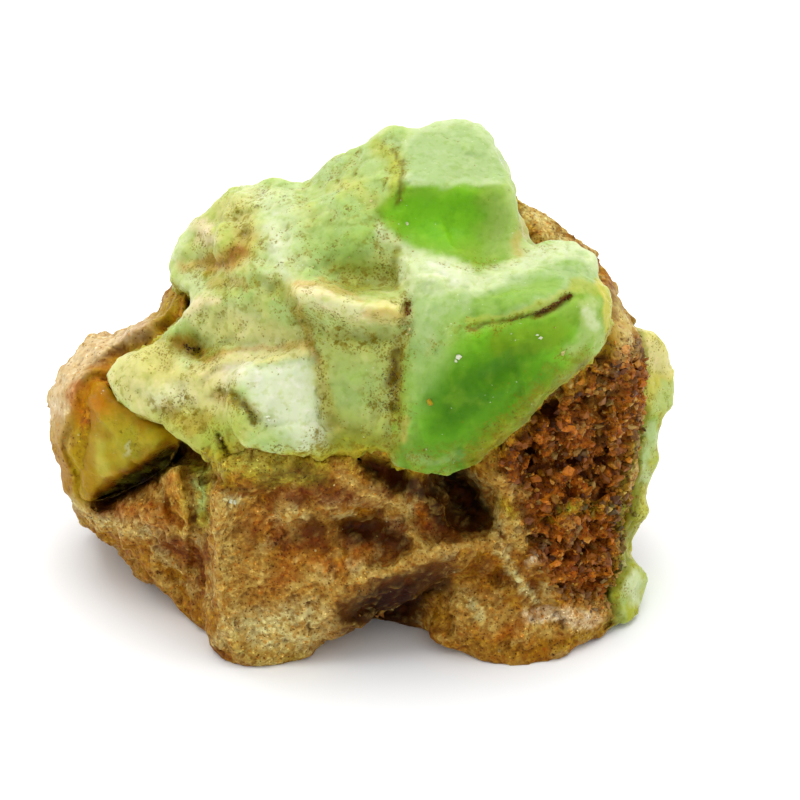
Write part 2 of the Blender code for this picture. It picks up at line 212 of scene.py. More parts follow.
def lumps(spots, grain, seed=0.0):
    """A height for each ragged lump of this grain, the same all over it, from about -1 to 1."""
    starts = (seed, seed + 3.7, seed + 8.1)
    warp = np.stack([cloudy(spots, grain * 0.8, 3, start) for start in starts], axis=1)
    moved = spots / grain + 0.35 * warp + seed
    return np.array([2 * noise.noise(noise.voronoi(spot)[1][0] * 5.3) for spot in moved])


def facets(spots, grain, seed=0.0):
    """Heights of flat, tilted facets of this grain, as on a broken face, from about -1 to 1."""
    heights = []
    for spot in spots / grain + seed:
        middle = noise.voronoi(spot)[1][0]
        heights.append((Vector(spot) - middle).dot(noise.noise_vector(middle * 5.3)) * 2)
    return np.array(heights)


def distance_to_line(places, line):
    """How far each place on the picture is from a line of straight runs."""
    nearest = np.full(len(places), np.inf)
    if len(line) == 1:
        return np.linalg.norm(places - line[0], axis=1)
    for start, end in zip(line, line[1:]):
        start, run = np.array(start), np.subtract(end, start)
        along = np.clip((places - start) @ run / (run @ run), 0, 1)
        closest = start + along[:, None] * run
        nearest = np.minimum(nearest, np.linalg.norm(places - closest, axis=1))
    return nearest


def inside_outline(places, corners):
    """How far each place is inside a closed outline on the picture, less than 0 outside."""
    inside = np.zeros(len(places), dtype=bool)
    for (x0, y0), (x1, y1) in zip(corners, corners[1:] + corners[:1]):
        crosses = (y0 > places[:, 1]) != (y1 > places[:, 1])
        rise = np.where(y1 == y0, TINY, y1 - y0)
        at = (x1 - x0) * (places[:, 1] - y0) / rise + x0
        inside ^= crosses & (places[:, 0] < at)
    edge = distance_to_line(places, corners + corners[:1])
    return np.where(inside, edge, -edge)


def placed(name, data):
    """A new thing in the scene."""
    made = bpy.data.objects.new(name, data)
    bpy.context.scene.collection.objects.link(made)
    return made


def worked(mesh, *tools):
    """What becomes of a mesh that these tools work on in turn."""
    blank = placed(mesh.name, mesh)
    for tool, setting in tools:
        tool(blank, setting)
    graph = bpy.context.evaluated_depsgraph_get()
    made = bpy.data.meshes.new_from_object(blank.evaluated_get(graph))
    bpy.data.objects.remove(blank)
    return made


def reskin(blank, cell):
    """Makes an even skin of small cells."""
    step = blank.modifiers.new("reskin", "REMESH")
    step.mode = "VOXEL"
    step.voxel_size = cell * MM


def soften(blank, rounds):
    """Rounds off the edges, a little more each round."""
    step = blank.modifiers.new("soften", "SMOOTH")
    step.factor = 0.5
    step.iterations = rounds


def pull(mesh, pulls):
    """Pulls a skin about on the picture."""
    spots = spots_of(mesh)
    places = pictured(spots)
    for reach, place, move in pulls:
        near = np.clip(1 - (np.linalg.norm(places - place, axis=1) / reach) ** 2, 0, 1) ** 2
        spots += near[:, None] * (RIGHTWARDS * move[0] + UPWARDS * move[1] + AWAY * move[2])
    put_spots(mesh, spots)


def skin_of(nodes, cell, rounds):
    """An even, softened skin of nodes of the part, pulled to the specimen's outline."""
    shape = bmesh.new()
    for node in nodes:
        shape.from_mesh(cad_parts[node].data)
    bmesh.ops.remove_doubles(shape, verts=shape.verts, dist=SAME_SPOT)
    mesh = bpy.data.meshes.new(nodes[0] + "_skin")
    shape.to_mesh(mesh)
    shape.free()
    mesh.materials.clear()
    mesh = worked(mesh, (reskin, cell), (soften, rounds))
    pull(mesh, PULLS)
    return mesh


def seen(mesh):
    """1 where the skin faces the viewer, 0 where it faces away."""
    return smooth_step(-(outward_of(mesh) @ AWAY), -0.15, 0.25)


def carve(mesh, strokes, waver=0.35):
    """Presses the skin in along lines on the picture, which stray by the waver in millimetres."""
    spots = spots_of(mesh)
    warp = [cloudy(spots, 2.5, seed=seed) for seed in (3.1, 7.7)]
    places = pictured(spots) + waver * np.stack(warp, axis=1)
    facing = seen(mesh)
    for depth, half_width, line in strokes:
        near = np.clip(1 - (distance_to_line(places, line) / half_width) ** 2, 0, 1)
        spots += AWAY * (depth * near * near * facing)[:, None]
    put_spots(mesh, spots)


def raise_by(mesh, heights):
    """Moves each vertex out by its height."""
    put_spots(mesh, spots_of(mesh) + outward_of(mesh) * heights[:, None])


def hollowness(mesh, rounds=3):
    """How far each vertex lies below the skin round it, in millimetres."""
    spots = spots_of(mesh)
    eased = worked(mesh, (soften, rounds))
    return ((spots_of(eased) - spots) * outward_of(mesh)).sum(axis=1)


def faces_of(mesh):
    """A mesh's faces, in millimetres from the front foot, for looking up the nearest."""
    corners = [Vector(spot) for spot in spots_of(mesh)]
    return BVHTree.FromPolygons(corners, [face.vertices for face in mesh.polygons])


def close_gap(mesh, others, bite=0.25, near=1.0, far=1.9):
    """Moves a skin that lies close to the others onto them and a little into them."""
    spots = spots_of(mesh)
    for other in others:
        tree = faces_of(other)
        for index, spot in enumerate(spots):
            closest, facing, _, gap = tree.find_nearest(Vector(spot), far)
            if closest is None or (Vector(spot) - closest).dot(facing) < 0:
                continue
            share = 1 - min(max((gap - near) / (far - near), 0), 1)
            spots[index] -= np.array(facing) * (gap + bite) * share
    put_spots(mesh, spots)


def nearness(mesh, other, reach, ragged=0.0):
    """1 where a skin touches another one, 0 where it is further than this reach from it."""
    tree = faces_of(other)
    found = [tree.find_nearest(Vector(spot), reach)[3] for spot in spots_of(mesh)]
    near = np.array([0.0 if gap is None else 1 - gap / reach for gap in found])
    return near + ragged * cloudy(spots_of(mesh), 1.6, 3, 3.0) * smooth_step(near, 0.0, 0.3)


class Coat:
    """The colours of a mesh, laid on in layers, one value for each vertex."""

    WAVER = 0.5  # how far the edges of strokes and fills stray, in millimetres
    WAVER_GRAIN = 1.8

    def __init__(self, mesh, ground):
        self.mesh = mesh
        self.spots = spots_of(mesh)
        warp = [cloudy(self.spots, self.WAVER_GRAIN, seed=seed) for seed in (1.3, 5.9)]
        self.places = pictured(self.spots) + self.WAVER * np.stack(warp, axis=1)
        self.facing = seen(mesh)
        self.colours = np.tile(linear(ground), (len(self.spots), 1))

    def lay(self, paint, weights):
        """Lays a paint on as thickly as the weights say."""
        weights = np.clip(weights, 0, 1)[:, None]
        self.colours = self.colours * (1 - weights) + linear(paint) * weights

    def stroke(self, paint, strength, half_width, line):
        """Lays a paint on along a line on the picture."""
        near = smooth_step(distance_to_line(self.places, line) / half_width, 1, 0.25)
        self.lay(paint, near * strength * self.facing)

    def fill(self, paint, strength, outline, soft=0.8, places=None):
        """Lays a paint on inside an outline on the picture."""
        places = self.places if places is None else places
        inside = smooth_step(inside_outline(places, outline), -soft, soft)
        self.lay(paint, inside * strength * self.facing)

    def paint(self, rows):
        """Lays on strokes, whose rows end with a line, and fills, whose rows end with a number."""
        for row in rows:
            lay_on = self.stroke if isinstance(row[-1], list) else self.fill
            lay_on(*row)

    def veil(self, paint, strength, values, low, high, where=1.0):
        """Lays a paint on as the values rise from low to high."""
        self.lay(paint, strength * where * smooth_step(values, low, high))

    def keep(self):
        """Stores the colours on the mesh."""
        keep_colours(self.mesh, self.colours)


def keep_colours(mesh, colours):
    """Stores a colour for each vertex on the mesh."""
    layer = mesh.attributes.new("coat", "FLOAT_COLOR", "POINT")
    values = np.concatenate((colours, np.ones((len(colours), 1))), axis=1)
    layer.data.foreach_set("color", values.astype(np.float32).ravel())


def keep_number(mesh, name, values):
    """Stores one number for each vertex on the mesh."""
    layer = mesh.attributes.new(name, "FLOAT", "POINT")
    layer.data.foreach_set("value", np.clip(values, 0, 1).astype(np.float32))


def shown(name, mesh, material, node, smooth=True):
    """Shows a finished mesh, in place of a node of the part if one is named."""
    mesh.name = name
    mesh.materials.clear()
    mesh.materials.append(material)
    for face in mesh.polygons:
        face.use_smooth = smooth
    piece = placed(name, mesh)
    if node:
        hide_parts(node)
    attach(piece, "root")
    return piece


# Materials

def noise_of(tree, grain, detail=2.0, kind="ShaderNodeTexNoise"):
    """Noise of this grain in millimetres, fixed to the piece."""
    place = tree.nodes.new("ShaderNodeTexCoord")
    made = tree.nodes.new(kind)
    made.inputs["Scale"].default_value = 1 / (grain * MM)
    if kind == "ShaderNodeTexNoise":
        made.inputs["Detail"].default_value = detail
    tree.links.new(place.outputs["Object"], made.inputs["Vector"])
    return made


def stored(tree, name):
    """What is stored on the mesh under this name."""
    made = tree.nodes.new("ShaderNodeAttribute")
    made.attribute_name = name
    return made


def ranged(tree, source, low, high, to_low=0.0, to_high=1.0):
    """A value spread from low..high to to_low..to_high, and held there."""
    made = tree.nodes.new("ShaderNodeMapRange")
    made.interpolation_type = "SMOOTHSTEP"
    made.inputs["From Min"].default_value = low
    made.inputs["From Max"].default_value = high
    made.inputs["To Min"].default_value = to_low
    made.inputs["To Max"].default_value = to_high
    tree.links.new(source, made.inputs["Value"])
    return made.outputs["Result"]


def patches(tree, grain, detail, low, high, to_low=0.0, to_high=1.0):
    """Soft patches of this grain, where the noise rises from low to high."""
    return ranged(tree, noise_of(tree, grain, detail).outputs["Fac"], low, high, to_low, to_high)


def combined(tree, how, first, second):
    """The sum, product or the like of two values."""
    made = tree.nodes.new("ShaderNodeMath")
    made.operation = how
    for socket, value in zip(made.inputs, (first, second)):
        if isinstance(value, float):
            socket.default_value = value
        else:
            tree.links.new(value, socket)
    return made.outputs[0]


def times(tree, first, second):
    """The product of two values."""
    return combined(tree, "MULTIPLY", first, second)


def vectors(tree, how, *sources):
    """Vectors put together."""
    made = tree.nodes.new("ShaderNodeVectorMath")
    made.operation = how
    for socket, source in zip(made.inputs, sources):
        if isinstance(source, tuple):
            socket.default_value = source
        else:
            tree.links.new(source, socket)
    return made


def mixed(tree, how, share, colour, other):
    """A colour mixed with another one, as far as the share says."""
    made = tree.nodes.new("ShaderNodeMix")
    made.data_type = "RGBA"
    made.blend_type = how
    first, second = made.inputs[6], made.inputs[7]
    tree.links.new(share, made.inputs["Factor"])
    tree.links.new(colour, first)
    second.default_value = (*other, 1)
    return made.outputs[2]


def blended(tree, share, colour, paint):
    """A colour with a paint over it, as thick as the share says."""
    return mixed(tree, "MIX", share, colour, linear(paint))


def toned(tree, share, colour, *factors):
    """A colour with its red, green and blue each times a factor, as far as the share says."""
    return mixed(tree, "MULTIPLY", share, colour, factors)


def new_material(name, roughness, shine=0.1, see_under=0.0, depth=(1.0, 1.0, 1.0)):
    """A material with its tree and shader, and how far light goes under its skin, in millimetres."""
    material = bpy.data.materials.new(name)
    material.use_nodes = True
    tree = material.node_tree
    shader = tree.nodes["Principled BSDF"]
    shader.inputs["Roughness"].default_value = roughness
    shader.inputs["Specular IOR Level"].default_value = shine
    shader.inputs["Subsurface Weight"].default_value = see_under
    shader.inputs["Subsurface Radius"].default_value = depth
    shader.inputs["Subsurface Scale"].default_value = MM
    return material, tree, shader


def chipped(tree, grain, steepness):
    """Heights, in metres, of small flat facets of this grain that are tilted every way."""
    cells = noise_of(tree, grain, kind="ShaderNodeTexVoronoi")
    place = cells.inputs["Vector"].links[0].from_socket
    run = vectors(tree, "SUBTRACT", place, cells.outputs["Position"]).outputs["Vector"]
    tilt = vectors(tree, "SUBTRACT", cells.outputs["Color"], (0.5, 0.5, 0.5)).outputs["Vector"]
    return times(tree, vectors(tree, "DOT_PRODUCT", run, tilt).outputs["Value"], steepness)


def waved(tree, grain, height):
    """Heights, in metres, of rough ground of this grain."""
    return times(tree, noise_of(tree, grain, 4).outputs["Fac"], height * MM)


def bumped(tree, shader, *heights):
    """Gives a shader fine relief that is too small for the mesh."""
    total = heights[0]
    for height in heights[1:]:
        total = combined(tree, "ADD", total, height)
    made = tree.nodes.new("ShaderNodeBump")
    made.inputs["Distance"].default_value = 1.0
    tree.links.new(total, made.inputs["Height"])
    tree.links.new(made.outputs["Normal"], shader.inputs["Normal"])


def dots(tree, grain, radius, share):
    """Ragged dots of this radius, in grains, on as many of the grains as the share says."""
    cells = noise_of(tree, grain, kind="ShaderNodeTexVoronoi")
    place = cells.inputs["Vector"].links[0].from_socket
    warp = noise_of(tree, grain * 0.7, 2).outputs["Color"]
    ragged = vectors(tree, "MULTIPLY_ADD", warp, (grain * MM * 1.2,) * 3, place)
    tree.links.new(ragged.outputs["Vector"], cells.inputs["Vector"])
    dot = ranged(tree, cells.outputs["Distance"], radius, radius * 0.6)
    return times(tree, dot, combined(tree, "LESS_THAN", cells.outputs["Color"], share))


def waxy_material():
    """A waxy, slightly see-through mineral, flecked with brown dirt and with painted glints."""
    material, tree, shader = new_material("waxy_green", 0.38, see_under=0.55, depth=(2.0, 2.8, 1.0))
    coat = stored(tree, "coat").outputs["Color"]
    dirt = stored(tree, "dirt").outputs["Fac"]
    milky = patches(tree, 1.3, 7, 0.5, 0.74)
    colour = toned(tree, milky, coat, 1.18, 1.1, 1.35)
    murky = patches(tree, 0.7, 7, 0.48, 0.7)
    colour = toned(tree, murky, colour, 0.86, 0.9, 0.7)
    stained = patches(tree, 1.3, 7, 0.42, 0.68, 0.0, 0.4)
    colour = blended(tree, times(tree, stained, dirt), colour, "lime")
    patchy = times(tree, dirt, patches(tree, 1.7, 4, 0.4, 0.62, 0.2, 1.0))
    fine = dots(tree, 0.26, 0.5, ranged(tree, patchy, 0.0, 0.6, 0.04, 0.85))
    colour = blended(tree, times(tree, fine, 0.65), colour, "speck")
    larger = dots(tree, 0.44, 0.4, ranged(tree, patchy, 0.1, 0.8, 0.0, 0.5))
    colour = blended(tree, times(tree, larger, 0.65), colour, "olive")
    blots = times(tree, patches(tree, 0.7, 8, 0.5, 0.64), dirt)
    colour = blended(tree, times(tree, times(tree, blots, dirt), 0.85), colour, "speck")
    # Painted glints: dots of milk in the base colour stand in for the highlights that sparkle on the wax
    painted_glints = dots(tree, 0.3, 0.26, patches(tree, 2.0, 2, 0.5, 0.7, 0.0, 0.35))
    colour = blended(tree, times(tree, painted_glints, 0.6), colour, "milk")
    tree.links.new(colour, shader.inputs["Base Color"])
    rough = patches(tree, 0.8, 3, 0.3, 0.7, 0.24, 0.55)
    tree.links.new(rough, shader.inputs["Roughness"])
    grainy = ranged(tree, dirt, 0.0, 0.7, 0.15, 1.0)
    relief = combined(tree, "ADD", waved(tree, 0.5, 0.16), chipped(tree, 0.4, 0.36))
    bumped(tree, shader, times(tree, relief, grainy))
    return material


# Soft patches on the rock: (grain, detail, low, high, tint)
ROCK_PATCHES = [
    (0.9, 8, 0.45, 0.62, (0.88, 0.72, 0.5)),
    (0.6, 4, 0.48, 0.66, (1.16, 1.2, 1.24)),
    (0.5, 4, 0.5, 0.66, (0.74, 0.64, 0.5)),
]
# Stains, pale clots, and brown and bright grains: (grain, radius, share, strength, tint)
ROCK_DOTS = [
    (1.5, 0.75, 0.34, 0.7, (0.86, 0.7, 0.45)),
    (1.2, 0.7, 0.36, 0.7, (1.24, 1.32, 1.45)),
    (0.42, 0.8, 0.36, 0.8, (0.72, 0.6, 0.44)),
    (0.36, 0.8, 0.32, 0.7, (1.4, 1.5, 1.7)),
]


def rock_material():
    """Rusty, porous rock with bright grains in it and painted glints."""
    material, tree, shader = new_material("rusty_rock", 0.6, see_under=0.3, depth=(0.7, 0.4, 0.15))
    coat = stored(tree, "coat").outputs["Color"]
    grit = stored(tree, "grit").outputs["Fac"]
    mottled = ranged(tree, grit, 0.2, 0.6, 0.4, 1.0)
    colour = coat
    for grain, detail, low, high, tint in ROCK_PATCHES:
        patch = patches(tree, grain, detail, low, high)
        colour = toned(tree, times(tree, patch, mottled), colour, *tint)
    amber = dots(tree, 0.5, 0.45, times(tree, grit, 0.5))
    colour = toned(tree, times(tree, amber, 0.8), colour, 1.12, 0.78, 0.4)
    for grain, radius, share, strength, tint in ROCK_DOTS:
        spot = dots(tree, grain, radius, times(tree, mottled, share))
        colour = toned(tree, times(tree, spot, strength), colour, *tint)
    specks = dots(tree, 0.26, 0.44, ranged(tree, grit, 0.0, 1.0, 0.14, 0.42))
    colour = toned(tree, specks, colour, 0.4, 0.28, 0.18)
    pores = dots(tree, 0.6, 0.3, times(tree, grit, 0.25))
    colour = toned(tree, pores, colour, 0.3, 0.2, 0.12)
    # Painted glints: brightened dots of the base colour stand in for sparkling highlights, and they are
    # also less rough
    painted_glints = dots(tree, 0.3, 0.28, times(tree, grit, 0.4))
    colour = toned(tree, painted_glints, colour, 2.0, 2.2, 2.7)
    tree.links.new(colour, shader.inputs["Base Color"])
    tree.links.new(ranged(tree, painted_glints, 0.0, 1.0, 0.55, 0.2), shader.inputs["Roughness"])
    coarse = combined(tree, "ADD", waved(tree, 0.8, 0.22), chipped(tree, 0.8, 0.55))
    bumped(tree, shader, times(tree, coarse, mottled), times(tree, chipped(tree, 0.36, 0.6), mottled))
    return material


def grain_material():
    """Loose crumbs, each in its own colour."""
    material, tree, shader = new_material("crumbs", 0.45, shine=0.25)
    coat = stored(tree, "coat").outputs["Color"]
    dark = patches(tree, 0.3, 6, 0.45, 0.65)
    tree.links.new(toned(tree, dark, coat, 0.65, 0.55, 0.45), shader.inputs["Base Color"])
    bumped(tree, shader, waved(tree, 0.4, 0.12))
    return material


# The green mass

# Lines that are both pressed in and painted
BLOCK_EDGE = [(3.2, 51.4), (4.1, 50.2), (4.1, 47.6), (3.7, 45.8)]
LOBE_CRACK = [(10.9, 33.3), (12.3, 34.0), (15.2, 34.3), (17.6, 35.0)]
SHELF_PIT = [(-14.0, 22.6), (-13.4, 20.9)]
# What is pressed in, or raised where the depth is less than 0: (depth, half width, line)
GREEN_STROKES = [
    # The scoop of the block's dark face, the line at its left, and the saddle in front of it
    (0.8, 4.6, [(5.4, 43.8), (8.0, 43.4), (11.6, 44.0)]),
    (-0.5, 2.2, [(6.4, 39.2), (9.4, 38.8)]),
    (0.35, 0.5, BLOCK_EDGE),
    # The finger ridge, the hollow behind it and the dip under it
    (1.0, 2.6, [(-2.6, 39.4), (0.6, 38.6), (2.8, 38.9)]),
    (-1.6, 1.7, [(-6.0, 37.0), (-4.6, 36.8), (-2.6, 36.1), (0.0, 35.3), (1.9, 35.3), (3.9, 35.4)]),
    (-0.7, 1.3, [(-5.6, 37.1), (-4.6, 36.9)]),
    (0.7, 1.2, [(-5.8, 34.4), (-3.0, 33.3), (0.4, 32.6), (3.0, 32.8)]),
    # The seam left of the lobe, with its pits
    (0.4, 1.1, [(4.5, 36.6), (4.6, 33.4), (3.6, 30.0), (3.5, 27.0), (3.0, 23.0), (2.6, 20.4)]),
    (1.3, 0.65, [(4.6, 35.9), (4.6, 35.2)]),
    (0.7, 0.8, [(3.4, 28.4)]),
    (0.7, 0.7, [(3.5, 25.4)]),
    # The crack in the lobe
    (0.3, 0.5, LOBE_CRACK),
    (0.7, 0.6, [(17.6, 35.0), (19.4, 35.6), (21.1, 36.8)]),
    (-0.25, 1.2, [(12.3, 35.4), (17.0, 36.2), (20.4, 38.2)]),
    # The end of the lobe
    (-0.5, 1.5, [(23.2, 35.4), (23.0, 33.6)]),
    (0.4, 1.2, [(21.6, 38.4), (23.6, 37.4)]),
    (-0.4, 2.4, [(7.4, 27.4), (9.4, 23.4)]),
    (0.5, 2.0, [(13.4, 28.8), (16.4, 30.4)]),
    (-0.4, 1.0, [(4.8, 18.8), (8.0, 17.9), (11.6, 18.4)]),
    (0.6, 0.8, [(10.4, 20.4), (12.4, 20.8)]),
    (-0.5, 0.8, [(12.0, 22.4), (13.6, 22.4), (14.6, 24.0)]),
    # The upper left lump: its stained hollows and knobs
    (0.9, 1.3, [(-15.7, 40.0), (-13.6, 40.2), (-12.1, 41.2), (-11.2, 42.6)]),
    (0.6, 1.4, [(-14.0, 44.5), (-11.8, 44.8)]),
    (0.5, 0.9, [(-18.8, 40.2), (-16.4, 40.6)]),
    (-0.6, 2.0, [(-17.2, 38.2)]),
    (-0.6, 1.5, [(-15.6, 43.1)]),
    (-0.5, 1.4, [(-13.4, 42.2)]),
    # The pale rib on the slope, and the ground left of it
    (-0.3, 1.4, [(-8.8, 43.6), (-8.2, 41.0), (-7.4, 38.8)]),
    (-0.7, 2.6, [(-11.4, 39.8), (-10.0, 38.2)]),
    (0.6, 2.4, [(-5.0, 44.6), (-3.4, 41.4)]),
    (-0.6, 2.6, [(-1.6, 46.4), (-0.2, 43.4)]),
    (0.5, 1.6, [(1.4, 44.4), (2.0, 41.4)]),
    # The rim of the middle ledge
    (-0.6, 1.2, [(-17.6, 35.2), (-16.2, 36.3), (-14.6, 36.5)]),
    (0.3, 1.2, [(-13.0, 38.0), (-9.2, 37.4)]),
    (0.6, 0.9, [(-6.5, 36.2), (-5.4, 33.0), (-4.7, 30.6)]),
    (0.4, 2.0, [(-13.2, 34.2), (-9.0, 33.8)]),
    # Its brown pit
    (0.8, 1.5, [(-18.0, 32.0), (-16.6, 31.3)]),
    (1.1, 0.6, [(-16.4, 31.0)]),
    (0.5, 1.6, [(-15.6, 31.4), (-14.6, 29.8)]),
    # The edge over the shelf and the pale patch, and the patch
    (-0.6, 0.9, [(-16.6, 28.8), (-14.7, 30.1), (-11.9, 30.4), (-8.1, 30.7), (-5.3, 31.2)]),
    (0.4, 0.9, [(-13.6, 31.8), (-9.4, 32.3), (-5.6, 32.4)]),
    (-0.7, 3.2, [(-8.2, 28.0), (-6.4, 25.0)]),
    (0.45, 1.0, [(-4.5, 29.8), (-3.9, 27.6), (-3.2, 24.0)]),
    (0.7, 0.8, [(-12.7, 26.6), (-11.4, 25.4), (-10.6, 24.2)]),
    (1.3, 0.8, SHELF_PIT),
    (0.4, 0.6, [(-14.0, 27.2), (-13.0, 26.8)]),
    (0.4, 1.2, [(-17.4, 26.0), (-15.6, 23.8)]),
    (-0.5, 1.6, [(-22.6, 29.4), (-19.6, 26.8)]),
    (-0.4, 1.3, [(-18.4, 23.4), (-16.2, 22.2)]),
    # The foot of the wall
    (0.6, 1.0, [(-3.0, 24.0), (0.4, 23.0), (1.6, 25.4)]),
    (-0.4, 1.6, [(-0.6, 28.4), (0.4, 31.0)]),
]
# The lobe, as it is seen
LOBE = [(4.6, 41.0), (5.2, 30.0), (5.6, 22.0), (10.6, 21.4), (25.0, 33.0), (24.0, 43.0), (12.0, 39.0)]
# The block, the lobe and the pale patch, where the mineral is clean and smooth
SMOOTH_GREEN = [
    [(4.3, 54.6), (4.3, 47.8), (1.4, 45.4), (3.8, 42.0), (9.0, 39.8), (17.0, 40.0), (14.0, 55.0)],
    LOBE,
    [(-11.4, 29.4), (-8.0, 30.4), (-5.2, 30.2), (-4.0, 24.0), (-7.0, 22.6), (-10.6, 26.0)],
]


def clean_share(mesh):
    """1 on the clean, smooth parts of the green mass, 0 elsewhere."""
    places = pictured(spots_of(mesh))
    share = np.zeros(len(places))
    for outline in SMOOTH_GREEN:
        share = np.maximum(share, smooth_step(inside_outline(places, outline), -0.8, 1.2))
    return share * seen(mesh)


def green_mesh():
    """The green mass: its scoops, ridges and pits, and a skin like old wax."""
    mesh = skin_of(["green_mass"], GREEN_CELL, 6)
    carve(mesh, GREEN_STROKES)
    spots = spots_of(mesh)
    rough = 1 - 0.75 * clean_share(mesh)
    heights = 0.3 * facets(spots, 4.6, 2.2) + 0.26 * cloudy(spots, 3.4, 2, 2.2)
    heights += rough * (0.2 * facets(spots, 1.7, 6.0) + 0.12 * cloudy(spots, 1.1, 4, 8.8))
    heights -= rough * 0.2 * smooth_step(cloudy(spots, 1.3, 2, 4.4), 0.35, 0.7)
    raise_by(mesh, heights)
    return worked(mesh, (soften, 2))


def roughen_edge(mesh, rock):
    """Breaks up the smooth edge of a piece where it sits on the rock."""
    spots = spots_of(mesh)
    touching = smooth_step(nearness(mesh, rock, 1.5), 0.1, 0.6)
    raise_by(mesh, touching * (0.35 * facets(spots, 0.9, 3.0) + 0.3 * cloudy(spots, 0.8, 3, 1.0)))


# The paints of the green mass, laid on in turn: (paint, strength, half width, line) is a stroke, and
# (paint, strength, outline, softness of the edge) is a fill
LEFT_GREENS = [
    # The upper left lump
    ("straw", 0.25, [(-19.3, 40.1), (-17.6, 43.5), (-14.9, 46.3), (-11.1, 47.8), (-9.9, 46.3),
        (-9.9, 42.3), (-11.6, 37.3), (-15.1, 36.3), (-18.9, 37.8)], 1.2),
    ("lime", 0.3, [(-15.4, 44.6), (-13.6, 46.4), (-11.2, 46.6), (-10.2, 44.2), (-12.0, 42.4),
        (-14.4, 42.8)], 1.3),
    ("olive", 0.45, 0.6, [(-13.9, 44.5), (-12.9, 44.1), (-11.8, 44.7)]),
    ("pink cream", 0.75, 1.6, [(-15.9, 43.6), (-15.4, 42.6)]),
    ("pale mint", 0.6, 1.4, [(-11.4, 47.0), (-9.4, 46.6)]),
    ("bone", 0.65, 2.0, [(-14.6, 40.0), (-12.6, 40.6), (-11.6, 42.4)]),
    ("orange", 0.5, 1.1, [(-17.6, 39.6), (-15.6, 39.8), (-13.6, 40.1), (-12.2, 41.2)]),
    ("rust", 0.6, 0.5, [(-15.6, 40.1), (-14.2, 39.9), (-13.0, 40.3), (-12.1, 41.3)]),
    ("pale mint", 0.6, 1.2, [(-17.8, 43.0), (-18.6, 41.0)]),
    ("pale mint", 0.6, [(-18.6, 39.0), (-16.0, 39.2), (-15.4, 37.0), (-17.6, 36.8)], 0.8),
    ("orange", 0.3, 0.8, [(-15.0, 37.8), (-12.6, 38.4), (-11.6, 37.6)]),
    # The slope
    ("pale mint", 0.7, [(-10.4, 47.6), (-6.6, 47.4), (-5.6, 43.6), (-7.0, 38.4), (-9.4, 39.4)], 1.2),
    ("milk", 0.4, 0.9, [(-9.0, 43.6), (-8.2, 41.0), (-7.4, 38.4)]),
    ("cream", 0.5, [(-15.4, 46.2), (-11.0, 47.4), (-10.4, 43.6), (-13.6, 43.4)], 1.2),
    ("cool green", 0.6, [(-6.6, 43.4), (-1.0, 47.4), (3.2, 49.4), (3.2, 44.0), (1.4, 41.0),
        (-5.4, 39.0)], 1.6),
    ("leaf", 0.35, [(-3.4, 43.0), (0.4, 45.0), (2.6, 44.4), (2.6, 39.6), (-3.0, 38.6)], 1.6),
    ("frost", 0.6, 1.8, [(-3.6, 49.0), (1.6, 51.0), (3.6, 52.4)]),
    ("straw", 0.25, 1.4, [(-1.4, 48.0), (0.8, 46.6)]),
    ("lime", 0.6, 1.3, [(1.6, 51.6), (3.6, 50.6), (3.6, 47.0), (2.6, 45.4)]),
    ("lime", 0.4, [(-3.6, 39.6), (0.6, 40.8), (3.4, 41.0), (3.4, 37.0), (-0.4, 37.0)], 1.0),
    ("moss", 0.5, 0.8, [(-1.6, 37.8), (0.6, 37.2), (2.8, 37.4)]),
    ("pale mint", 0.8, 1.0, [(1.9, 43.5), (3.9, 41.8), (6.4, 40.4), (10.1, 39.6)]),
]
